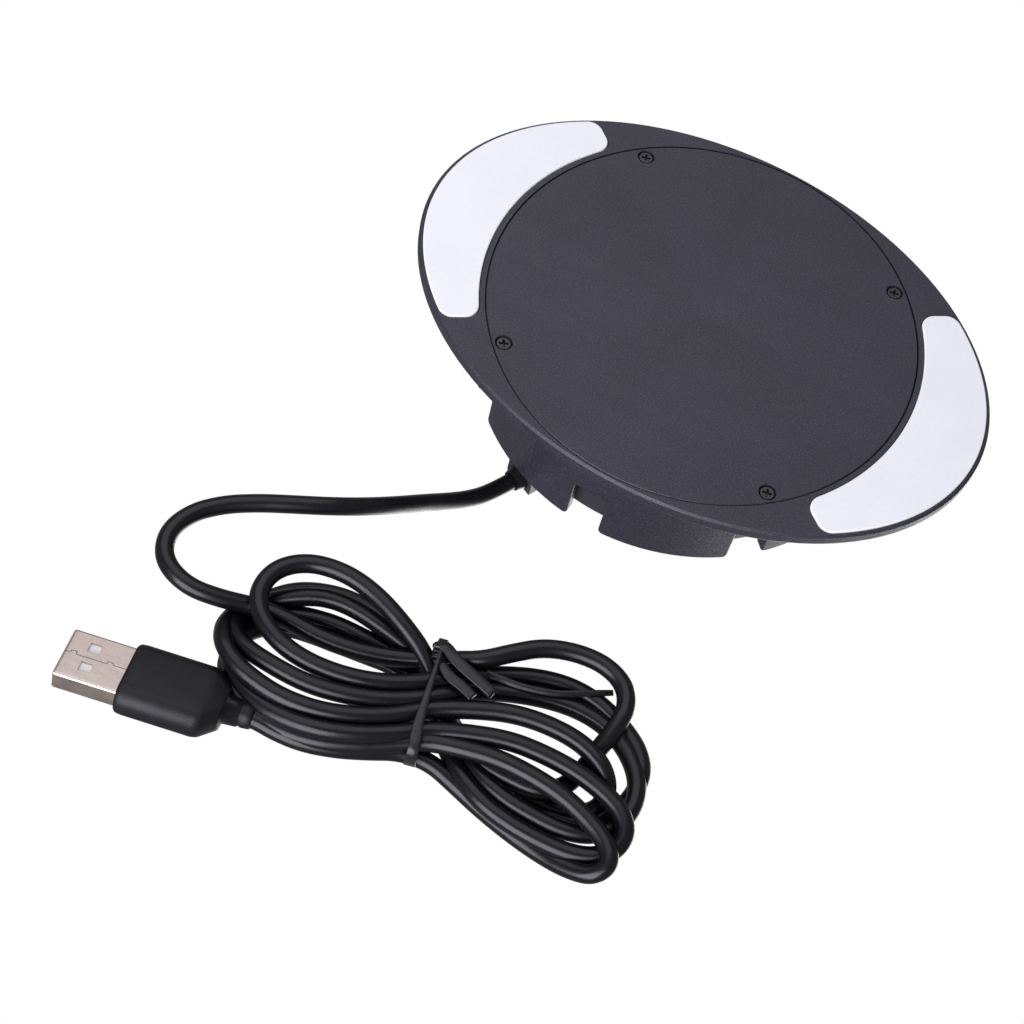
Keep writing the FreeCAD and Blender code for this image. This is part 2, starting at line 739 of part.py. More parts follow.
def cord():
    points = [Vector(*point) for point in cord_points]
    points[0] = along_exit(bush_end, exit_z)
    points[1] = along_exit(bush_end + first_run, exit_z)
    return sweep_tube(rounded_path(points, name="cord"), cord_radius, "cord")


# Outline of the tied bundle, seen from above, in two lobes with a waist between them.
left_lobe = [(-7.0, 101.0), (-17.5, 97.0), (-29.0, 94.5), (-38.5, 97.5), (-42.0, 104.0), (-39.6, 111.0),
             (-38.8, 116.5), (-40.5, 121.5), (-32.0, 126.8), (-27.5, 131.5), (-22.0, 133.8), (-12.0, 130.8),
             (-3.0, 125.5)]
right_lobe = [(-3.5, 100.0), (3.5, 93.0), (12.0, 86.0), (21.0, 82.7), (30.5, 87.2), (39.0, 99.0), (43.0, 108.0),
              (45.0, 119.5), (43.0, 124.0), (31.5, 125.3), (19.0, 126.5), (4.0, 121.8), (0.5, 123.5)]
waist_points = ((-5.2, 100.5), (-1.2, 124.4))


def prism(points, low, high):
    corners = [Vector(x, y, low) for x, y in points]
    return Part.Face(Part.makePolygon(corners + corners[:1])).extrude(Vector(0, 0, high - low))


def waist_box(length, width, low, high):
    """A block across the bundle's waist, with its width measured along the bundle."""
    (ax, ay), (bx, by) = waist_points
    middle = Vector((ax + bx) / 2, (ay + by) / 2, 0)
    turn = math.degrees(math.atan2(by - ay, bx - ax))
    shape = Part.makeBox(length, width, high - low, Vector(-length / 2, -width / 2, low))
    shape.rotate(ORIGIN, UP, turn)
    shape.translate(middle)
    return shape


def waist_length():
    (ax, ay), (bx, by) = waist_points
    return math.hypot(bx - ax, by - ay)


def cord_hank():
    top = hank_bottom + hank_height
    lobes = prism(left_lobe, hank_bottom, top).fuse(prism(right_lobe, hank_bottom, top))
    gap_width = tie_band_width + 2 * tie_gap
    lobes = lobes.cut(waist_box(waist_length() + 20, gap_width, hank_bottom - 1, top + 1))
    bottom = hank_bottom + tie_thickness + tie_gap
    neck = waist_box(waist_length() - 2 * tie_thickness, gap_width + 8, bottom, bottom + waist_height - 2)
    return lobes.fuse(neck)


def twist_tie():
    bottom = hank_bottom
    inner_low = hank_bottom + tie_thickness
    inner_high = hank_bottom + tie_thickness + 2 * tie_gap + waist_height - 2
    outer = waist_box(waist_length() + 2 * tie_gap, tie_band_width, bottom, inner_high + tie_thickness)
    hole = waist_box(waist_length() - 2 * tie_thickness + 2 * tie_gap, tie_band_width + 2, inner_low, inner_high)
    return outer.cut(hole)


# ---------------------------------------------------------------- plug
def place_plug(shape):
    """Lay a plug piece, made along +X from its back face, in its place on the table."""
    width, height = plug_body_size[1], plug_body_size[2]
    lean = math.radians(plug_roll)
    lift = height / 2 * math.cos(lean) + width / 2 * math.sin(lean) + 0.1
    shape.rotate(ORIGIN, Vector(1, 0, 0), plug_roll)
    shape.rotate(ORIGIN, UP, plug_direction)
    shape.translate(Vector(plug_back[0], plug_back[1], lift))
    return shape


def local_box(low_x, high_x, width, height, middle_y=0.0, middle_z=0.0):
    return Part.makeBox(high_x - low_x, width, height, Vector(low_x, middle_y - width / 2, middle_z - height / 2))


def plug_body():
    length, width, height = plug_body_size
    body = local_box(0, length, width, height)
    long_edges = [e for e in body.Edges if e.BoundBox.XLength > length - 0.1]
    body = body.makeFillet(plug_body_fillet, long_edges)
    neck = Part.makeCone(plug_neck_radius - 0.6, plug_neck_radius, plug_neck_length,
                         Vector(-plug_neck_length, 0, 0), Vector(1, 0, 0))
    body = body.fuse(neck)
    pocket = local_box(length - shell_buried, length + 1, shell_size[1], shell_size[2])
    return place_plug(body.cut(pocket))


def plug_shell():
    length = plug_body_size[0]
    end = length + shell_size[0]
    outer = local_box(length - shell_buried, end, shell_size[1], shell_size[2])
    inner = local_box(length - shell_buried + shell_wall, end + 1, shell_size[1] - 2 * shell_wall,
                      shell_size[2] - 2 * shell_wall)
    shell = outer.cut(inner)
    for side in (-1, 1):
        middle = end - shell_window_from_end
        shell = shell.cut(local_box(middle - shell_window / 2, middle + shell_window / 2, shell_window, 20,
                                    side * shell_window_spacing / 2))
    return place_plug(shell)


def plug_tongue():
    length = plug_body_size[0]
    start = length - shell_buried + shell_wall
    size = tongue_size
    end = start + size[0] + shell_buried - 0.6
    middle_z = size[2] / 2 + tongue_gap + shell_wall - shell_size[2] / 2
    return place_plug(local_box(start, end, size[1], size[2], 0, middle_z))


def plug_contacts():
    length = plug_body_size[0]
    start = length + 1.5
    end = length + tongue_size[0] - 1.2
    face = tongue_size[2] + tongue_gap + shell_wall - shell_size[2] / 2
    strips = []
    for index in range(contact_count):
        y = (index - (contact_count - 1) / 2) * contact_pitch
        strips.append(local_box(start, end, contact_width, contact_thickness, y, face + contact_thickness / 2))
    return place_plug(Part.makeCompound(strips))


# ---------------------------------------------------------------- all nodes
save("base_shell", base_shell())
right_pad, left_pad = pads()
save("right_pad", right_pad)
save("left_pad", left_pad)
save("bottom_cover", bottom_cover())
save("cover_screws", cover_screws())
save("upper_shell", upper_shell())
for side_name, (button_middle, pin_spread) in button_layout.items():
    save(f"button_{side_name}", cap(button_middle, pin_spread))
    save(f"switch_{side_name}", switch_body(button_middle))
    save(f"plunger_{side_name}", switch_plunger(button_middle))
save("ball", ball())
save("ball_housing", ball_housing())
save("support_beads", support_beads())
save("housing_screws", housing_screws())
save("retaining_ring", retaining_ring())
save("circuit_board", circuit_board())
save("board_screws", board_screws())
save("sensor_chip", chip(sensor_size, 0, 0, board_top))
save("sensor_lens", sensor_lens())
save("lamp", cylinder(lamp_radius, board_top, board_top + lamp_height, *lamp_place))
save("controller_chip", chip(controller_size, *controller_place, board_top))
save("crystal", chip(crystal_size, *crystal_place, board_top))
save("capacitors", capacitors())
save("board_socket", board_socket())
save("cable_connector", cable_connector())
save("cord_lead", cord_lead())
save("cord_bush", cord_bush())
save("cord", cord())
save("cord_hank", cord_hank())
save("twist_tie", twist_tie())
save("plug_body", plug_body())
save("plug_shell", plug_shell())
save("plug_tongue", plug_tongue())
save("plug_contacts", plug_contacts())
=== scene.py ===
# %% [markdown]
# # A corded desk trackball, seen from underneath
#
# The object is a stationary trackball: an oval base on two pale glides, a round crown with
# slots through it, four button quadrants round a free ball, and a thick black cable tied
# in a figure of eight with its plug lying beside it. The measured solids are the frame, and
# the pieces made here are fitted to them: the supple cable, its tie, the screws with their
# cross recesses, and the finishes.

import json
import math

import bmesh
import bpy
from mathutils import Matrix, Quaternion, Vector


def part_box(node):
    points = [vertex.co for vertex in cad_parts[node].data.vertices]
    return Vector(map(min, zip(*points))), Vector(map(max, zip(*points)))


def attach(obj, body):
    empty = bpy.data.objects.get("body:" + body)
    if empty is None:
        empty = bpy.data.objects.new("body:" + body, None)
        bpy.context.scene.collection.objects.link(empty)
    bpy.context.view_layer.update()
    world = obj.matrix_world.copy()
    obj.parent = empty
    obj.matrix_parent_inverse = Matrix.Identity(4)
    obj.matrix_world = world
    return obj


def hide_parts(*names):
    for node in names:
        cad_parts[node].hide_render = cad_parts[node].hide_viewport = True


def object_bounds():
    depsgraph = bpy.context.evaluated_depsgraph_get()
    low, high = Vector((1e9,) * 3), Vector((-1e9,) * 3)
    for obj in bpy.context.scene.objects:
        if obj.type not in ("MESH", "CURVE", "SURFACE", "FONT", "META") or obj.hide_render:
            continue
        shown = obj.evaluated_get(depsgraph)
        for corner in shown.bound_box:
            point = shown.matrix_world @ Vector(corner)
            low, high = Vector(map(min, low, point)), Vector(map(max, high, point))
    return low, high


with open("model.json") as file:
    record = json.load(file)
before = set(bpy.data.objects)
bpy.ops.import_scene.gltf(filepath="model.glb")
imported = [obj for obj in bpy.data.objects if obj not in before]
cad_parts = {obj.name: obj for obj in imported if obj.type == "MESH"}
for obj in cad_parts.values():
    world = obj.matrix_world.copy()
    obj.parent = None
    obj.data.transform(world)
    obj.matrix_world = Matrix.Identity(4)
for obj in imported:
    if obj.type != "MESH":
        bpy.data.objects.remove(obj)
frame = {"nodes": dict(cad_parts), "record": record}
cad_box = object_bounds()
nodes = frame["nodes"]
mm = 0.001


def size_of(name):
    """A frame node's size along each axis, as a vector in metres."""
    low, high = (Vector(corner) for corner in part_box(name))
    return high - low


print("frame nodes:", len(nodes))
print("base size mm:", [round(v / mm, 1) for v in size_of("base_shell")])
print("cover across mm:", round(size_of("bottom_cover").x / mm, 1))

# %% [markdown]
# ## Shared shading groups
#
# Injection-moulded plastic is never one even colour: the tool's spark texture leaves fine
# grain that catches light as tiny flecks, and handling leaves soft patches that are a bit
# shinier. Both effects are wanted on nearly every piece, so each is built once as a node
# group with named inputs, and the materials only set its values. All patterns read the
# object's own coordinates in metres, so a scale of 1000 means features about 1 mm across.

# %% node group helpers


def group(name, inputs, outputs):
    """A new shader node group with its sockets and its two end nodes."""
    tree = bpy.data.node_groups.new(name, "ShaderNodeTree")
    for label, kind, value in inputs:
        socket = tree.interface.new_socket(label, in_out="INPUT", socket_type="NodeSocket" + kind)
        if value is not None:
            socket.default_value = value
    for label, kind in outputs:
        tree.interface.new_socket(label, in_out="OUTPUT", socket_type="NodeSocket" + kind)
    return tree, tree.nodes.new("NodeGroupInput"), tree.nodes.new("NodeGroupOutput")


def add(tree, kind, **inputs):
    """A new node with some of its inputs set; a socket given as a value is linked."""
    node = tree.nodes.new(kind)
    for label, value in inputs.items():
        put(tree, node.inputs[label.replace("_", " ")], value)
    return node


def put(tree, socket, value):
    """Sets a socket to a value, or links it when the value is another socket."""
    if isinstance(value, bpy.types.NodeSocket):
        tree.links.new(value, socket)
    else:
        socket.default_value = value


def mix_colour(tree, factor, first, second, blend="MIX"):
    """The result socket of a colour mix."""
    node = tree.nodes.new("ShaderNodeMix")
    node.data_type = "RGBA"
    node.blend_type = blend
    put(tree, node.inputs[0], factor)
    put(tree, node.inputs[6], first)
    put(tree, node.inputs[7], second)
    return node.outputs[2]


def noise(tree, vector, scale, detail=2.0, rough=0.5, stretch=None):
    """The value socket of a noise, optionally stretched along an axis."""
    if stretch is not None:
        mapping = add(tree, "ShaderNodeMapping", Vector=vector, Scale=stretch)
        vector = mapping.outputs["Vector"]
    node = add(tree, "ShaderNodeTexNoise", Vector=vector, Scale=scale, Detail=detail, Roughness=rough)
    return node.outputs[0]


def ramp(tree, value, low, high, to_low=0.0, to_high=1.0):
    """The value socket of a clamped range."""
    node = tree.nodes.new("ShaderNodeMapRange")
    for index, number in enumerate((value, low, high, to_low, to_high)):
        put(tree, node.inputs[index], number)
    return node.outputs[0]


def maths(tree, operation, first, second=0.0):
    """The value socket of one sum."""
    node = tree.nodes.new("ShaderNodeMath")
    node.operation = operation
    put(tree, node.inputs[0], first)
    put(tree, node.inputs[1], second)
    return node.outputs[0]


# %% [markdown]
# The first group is the moulded skin itself. A fine noise is the spark texture: its peaks
# turn into flecks, and the whole of it is handed out as a height for the bump. A second,
# much larger noise lets the tone drift a little, as pigment does in a thick moulding.

# %% moulded grain

WHITE = (1.0, 1.0, 1.0, 1.0)
BLACK = (0.0, 0.0, 0.0, 1.0)

grain, ins, outs = group(
    "moulded grain",
    [("Vector", "Vector", None), ("Base", "Color", BLACK), ("Fleck", "Color", WHITE),
     ("Grain Scale", "Float", 1500.0), ("Fleck Amount", "Float", 0.3), ("Drift", "Float", 0.15)],
    [("Color", "Color"), ("Height", "Float")],
)
fine = noise(grain, ins.outputs["Vector"], ins.outputs["Grain Scale"], 3.0, 0.6)
fleck = ramp(grain, fine, 0.52, 0.72)
fleck = maths(grain, "MULTIPLY", fleck, ins.outputs["Fleck Amount"])
drift = ramp(grain, noise(grain, ins.outputs["Vector"], 38.0, 3.0, 0.55), 0.3, 0.7, -1.0, 1.0)
drift = maths(grain, "MULTIPLY", drift, ins.outputs["Drift"])
drift = maths(grain, "ADD", drift, 1.0)
toned = grain.nodes.new("ShaderNodeVectorMath")
toned.operation = "SCALE"
put(grain, toned.inputs[0], ins.outputs["Base"])
put(grain, toned.inputs["Scale"], drift)
put(grain, outs.inputs["Color"], mix_colour(grain, fleck, toned.outputs[0], ins.outputs["Fleck"]))
put(grain, outs.inputs["Height"], fine)

print("grain sockets:", [item.name for item in grain.interface.items_tree])

# %% [markdown]
# The second group says how shiny the surface is. Fingers and table tops polish a part in
# patches, and rubbing leaves short streaks, so two noises are multiplied: a mark shows only
# where both are strong. It gives out a roughness between a worn and an untouched value.

# %% handling marks
handling, ins, outs = group(
    "handling marks",
    [("Vector", "Vector", None), ("Patch Scale", "Float", 60.0), ("Smooth", "Float", 0.35),
     ("Rough", "Float", 0.55)],
    [("Roughness", "Float")],
)
patch = noise(handling, ins.outputs["Vector"], ins.outputs["Patch Scale"], 4.0, 0.6)
streak = noise(handling, ins.outputs["Vector"], ins.outputs["Patch Scale"], 3.0, 0.5, (0.4, 3.0, 1.0))
mark = ramp(handling, maths(handling, "MULTIPLY", patch, streak), 0.12, 0.42)
level = handling.nodes.new("ShaderNodeMix")
put(handling, level.inputs[0], mark)
put(handling, level.inputs[2], ins.outputs["Rough"])
put(handling, level.inputs[3], ins.outputs["Smooth"])
put(handling, outs.inputs["Roughness"], level.outputs[0])

print("groups:", [tree.name for tree in bpy.data.node_groups])

# %% [markdown]
# ## Finishes
#
# One maker function serves every plastic: it sets the colour, how coarse the grain is, how
# strongly the flecks show and how shiny the worn patches are. Metals, the ball, the circuit
# board and the clear lens get makers of their own, because what varies in them is different:
# brushing lines, cloudy swirls under a clear skin, copper tracks under lacquer.

# %% material makers


def blank(name):
    """A new material: its tree, its Principled shader and the object coordinates."""
    material = bpy.data.materials.new(name)
    material.use_nodes = True
    tree = material.node_tree
    shader = tree.nodes["Principled BSDF"]
    place = tree.nodes.new("ShaderNodeTexCoord").outputs["Object"]
    return material, tree, shader, place


def bump(tree, shader, height, strength, distance):
    """Small relief that only the light sees."""
    node = add(tree, "ShaderNodeBump", Strength=strength, Distance=distance, Height=height)
    put(tree, shader.inputs["Normal"], node.outputs["Normal"])


def plastic(name, base, fleck, scale=1500.0, amount=0.3, drift=0.12, smooth=0.35, rough=0.5,
            patch=60.0, relief=0.15, specular=0.5, dust=0.0):
    """Moulded plastic with grain, tone drift, handling marks and optional dust."""
    material, tree, shader, place = blank(name)
    body = add(tree, "ShaderNodeGroup")
    body.node_tree = grain
    for label, value in (("Vector", place), ("Base", (*base, 1.0)), ("Fleck", (*fleck, 1.0)),
                         ("Grain Scale", scale), ("Fleck Amount", amount), ("Drift", drift)):
        put(tree, body.inputs[label], value)
    worn = add(tree, "ShaderNodeGroup")
    worn.node_tree = handling
    for label, value in (("Vector", place), ("Patch Scale", patch), ("Smooth", smooth),
                         ("Rough", rough)):
        put(tree, worn.inputs[label], value)
    colour = body.outputs["Color"]
    if dust:
        cloud = ramp(tree, noise(tree, place, 210.0, 5.0, 0.7), 0.5, 0.8, 0.0, dust)
        colour = mix_colour(tree, cloud, colour, (0.3, 0.3, 0.3, 1.0))
    put(tree, shader.inputs["Base Color"], colour)
    put(tree, shader.inputs["Roughness"], worn.outputs["Roughness"])
    shader.inputs["Specular IOR Level"].default_value = specular
    bump(tree, shader, body.outputs["Height"], relief, 0.0002)
    return material


def metal(name, light, dark, stretch, scale=900.0, smooth=0.22, rough=0.42):
    """Plated or polished metal: streaks along one direction and duller patches."""
    material, tree, shader, place = blank(name)
    lines = noise(tree, place, scale, 4.0, 0.6, stretch)
    tone = mix_colour(tree, ramp(tree, lines, 0.3, 0.7), (*dark, 1.0), (*light, 1.0))
    worn = add(tree, "ShaderNodeGroup")
    worn.node_tree = handling
    for label, value in (("Vector", place), ("Patch Scale", 240.0), ("Smooth", smooth),
                         ("Rough", rough)):
        put(tree, worn.inputs[label], value)
    put(tree, shader.inputs["Base Color"], tone)
    put(tree, shader.inputs["Roughness"], worn.outputs["Roughness"])
    shader.inputs["Metallic"].default_value = 1.0
    bump(tree, shader, lines, 0.12, 0.0001)
    return material


# %% the plastics and metals

finish = {
    "housing_plastic": plastic(
        "housing plastic", base=(0.0205, 0.0178, 0.028), fleck=(0.11, 0.105, 0.13),
        scale=2600.0, amount=0.4, drift=0.1, smooth=0.38, rough=0.52, patch=45.0, relief=0.35,
        specular=0.4),
    "button_plastic": plastic(
        "button plastic", base=(0.024, 0.023, 0.03), fleck=(0.06, 0.06, 0.07), scale=2200.0,
        amount=0.25, drift=0.1, smooth=0.3, rough=0.46, patch=50.0, relief=0.2),
    "ring_plastic": plastic(
        "ring plastic", base=(0.012, 0.012, 0.015), fleck=(0.04, 0.04, 0.045), scale=1500.0,
        amount=0.15, drift=0.08, smooth=0.12, rough=0.26, patch=55.0, relief=0.06),
    "pad_plastic": plastic(
        "pad plastic", base=(0.75, 0.75, 0.765), fleck=(0.63, 0.63, 0.64), scale=900.0,
        amount=0.2, drift=0.03, smooth=0.3, rough=0.42, patch=80.0, relief=0.12),
    "black_screw": plastic(
        "black screw", base=(0.012, 0.012, 0.013), fleck=(0.08, 0.08, 0.085), scale=3000.0,
        amount=0.3, drift=0.2, smooth=0.28, rough=0.42, patch=300.0, relief=0.2),
    "inner_plastic": plastic(
        "inner plastic", base=(0.022, 0.022, 0.025), fleck=(0.05, 0.05, 0.055), scale=1600.0,
        amount=0.25, drift=0.12, smooth=0.35, rough=0.5, patch=60.0, relief=0.15),
    "switch_plastic": plastic(
        "switch plastic", base=(0.014, 0.014, 0.015), fleck=(0.05, 0.05, 0.05), scale=2400.0,
        amount=0.2, drift=0.1, smooth=0.35, rough=0.5, patch=200.0, relief=0.15),
    "plunger_plastic": plastic(
        "plunger plastic", base=(0.62, 0.05, 0.04), fleck=(0.72, 0.16, 0.13), scale=2000.0,
        amount=0.2, drift=0.08, smooth=0.3, rough=0.42, patch=300.0, relief=0.1),
    "chip_epoxy": plastic(
        "chip epoxy", base=(0.015, 0.015, 0.016), fleck=(0.06, 0.06, 0.06), scale=2600.0,
        amount=0.35, drift=0.1, smooth=0.45, rough=0.6, patch=200.0, relief=0.2),
    "connector_plastic": plastic(
        "connector plastic", base=(0.72, 0.71, 0.66), fleck=(0.8, 0.79, 0.75), scale=1500.0,
        amount=0.2, drift=0.05, smooth=0.3, rough=0.45, patch=200.0, relief=0.1),
    "cable_jacket": plastic(
        "cable jacket", base=(0.0035, 0.0032, 0.0044), fleck=(0.025, 0.024, 0.03), scale=1900.0,
        amount=0.12, drift=0.2, smooth=0.24, rough=0.34, patch=120.0, relief=0.08, specular=0.3,
        dust=0.004),
    "tie_plastic": plastic(
        "tie plastic", base=(0.0045, 0.0043, 0.0055), fleck=(0.04, 0.04, 0.045), scale=1700.0,
        amount=0.2, drift=0.15, smooth=0.28, rough=0.4, patch=260.0, relief=0.3, specular=0.4),
    "plug_plastic": plastic(
        "plug plastic", base=(0.0036, 0.0034, 0.0048), fleck=(0.04, 0.038, 0.045), scale=3400.0,
        amount=0.2, drift=0.12, smooth=0.36, rough=0.5, patch=130.0, relief=0.35,
        specular=0.28),
    "plated_screw": metal(
        "plated screw", light=(0.66, 0.66, 0.68), dark=(0.42, 0.42, 0.44), stretch=(1, 1, 0.1)),
    "bead_steel": metal(
        "bead steel", light=(0.78, 0.78, 0.8), dark=(0.66, 0.66, 0.68), stretch=(1, 1, 1),
        scale=500.0, smooth=0.08, rough=0.16),
    "plug_metal": metal(
        "plug metal", light=(0.52, 0.44, 0.385), dark=(0.46, 0.385, 0.335),
        stretch=(0.5, 1.0, 1.0), scale=2600.0, smooth=0.26, rough=0.38),
    "contact_gold": metal(
        "contact gold", light=(0.85, 0.64, 0.3), dark=(0.6, 0.42, 0.17), stretch=(0.3, 1, 1)),
}
print("plastics and metals:", len(finish))

# %% [markdown]
# The ball is cast resin, polished like a billiard ball: a deep red with a darker cloud in
# it and tiny bright specks near its surface, under a clear skin. The specks aren't only
# for looks, because the sensor below reads them as the ball turns, so the pattern is fine
# and even all round.

# %% the ball's resin
material, tree, shader, place = blank("ball resin")
cloud = ramp(tree, noise(tree, place, 70.0, 4.0, 0.6), 0.35, 0.7)
body_colour = mix_colour(tree, cloud, (0.33, 0.008, 0.012, 1.0), (0.16, 0.002, 0.005, 1.0))
cells = add(tree, "ShaderNodeTexVoronoi", Vector=place, Scale=1300.0)
speck = ramp(tree, cells.outputs["Distance"], 0.16, 0.05)
colour = mix_colour(tree, maths(tree, "MULTIPLY", speck, 0.6), body_colour, (0.75, 0.3, 0.25, 1.0))
put(tree, shader.inputs["Base Color"], colour)
put(tree, shader.inputs["Roughness"], ramp(tree, noise(tree, place, 90.0), 0.4, 0.7, 0.08, 0.2))
shader.inputs["Coat Weight"].default_value = 0.6
shader.inputs["Coat Roughness"].default_value = 0.05
finish["ball_resin"] = material

# %% [markdown]
# Nobody sees the board until the case is open, but it still needs to look like one. A brick
# pattern stands for copper tracks under green lacquer, and the glass cloth in the laminate
# shows as a faint fine weave. The lens beside it is clear plastic with a breath of haze.

# %% the circuit board
material, tree, shader, place = blank("board laminate")
tracks = tree.nodes.new("ShaderNodeTexBrick")
for label, value in (("Vector", place), ("Scale", 260.0), ("Mortar Size", 0.06),
                     ("Color1", (0.012, 0.13, 0.05, 1.0)), ("Color2", (0.014, 0.16, 0.06, 1.0)),
                     ("Mortar", (0.04, 0.3, 0.1, 1.0))):
    put(tree, tracks.inputs[label], value)
weave = noise(tree, place, 1400.0, 2.0, 0.5)
laminate = mix_colour(tree, ramp(tree, weave, 0.4, 0.7, 0.0, 0.25), tracks.outputs["Color"],
                      (0.05, 0.25, 0.12, 1.0))
put(tree, shader.inputs["Base Color"], laminate)
put(tree, shader.inputs["Roughness"], ramp(tree, noise(tree, place, 300.0), 0.35, 0.65, 0.2, 0.34))
bump(tree, shader, tracks.outputs["Fac"], 0.2, 0.0001)
finish["board_laminate"] = material

# %% the clear lens
material, tree, shader, place = blank("clear lens")
haze = ramp(tree, noise(tree, place, 800.0), 0.4, 0.8, 0.03, 0.12)
tint = mix_colour(tree, ramp(tree, noise(tree, place, 200.0), 0.3, 0.7), (0.9, 0.94, 0.97, 1.0),
                  (0.82, 0.88, 0.93, 1.0))
put(tree, shader.inputs["Base Color"], tint)
put(tree, shader.inputs["Roughness"], haze)
shader.inputs["Transmission Weight"].default_value = 0.9
shader.inputs["IOR"].default_value = 1.49
finish["clear_lens"] = material

# %% [markdown]
# Every measured piece already has a slot in the part's record that says what it is made of,
# so the finishes are handed out from there. No mesh is touched, only its material list.

# %% a finish for every measured piece
slot_of = {entry["node"]: entry["material_slot"] for entry in frame["record"]["subparts"]}
for name, piece in nodes.items():
    piece.data.materials.clear()
    piece.data.materials.append(finish[slot_of[name]])
print("finished nodes:", len(slot_of), "with", len(finish), "finishes")

# %% [markdown]
# ## The cable
#
# A PVC-jacketed cable 3.8 mm thick leaves over the crown's rim, drops to the table, makes one
# wide turn and goes into a figure-of-eight bundle: each turn crosses the waist, where the
# tie holds it, so a right-hand loop follows every left-hand one. Each half turn is written
# as its own short list of places in millimetres, so one loop can be opened or closed
# without touching the rest. The heights stack the strands in rough layers at the lobes, near
# 2, 6 and 10 mm. The waist has less room than the strands need, so there some of them run
# through each other.

# %% the route's points
cable_radius = 1.9 * mm

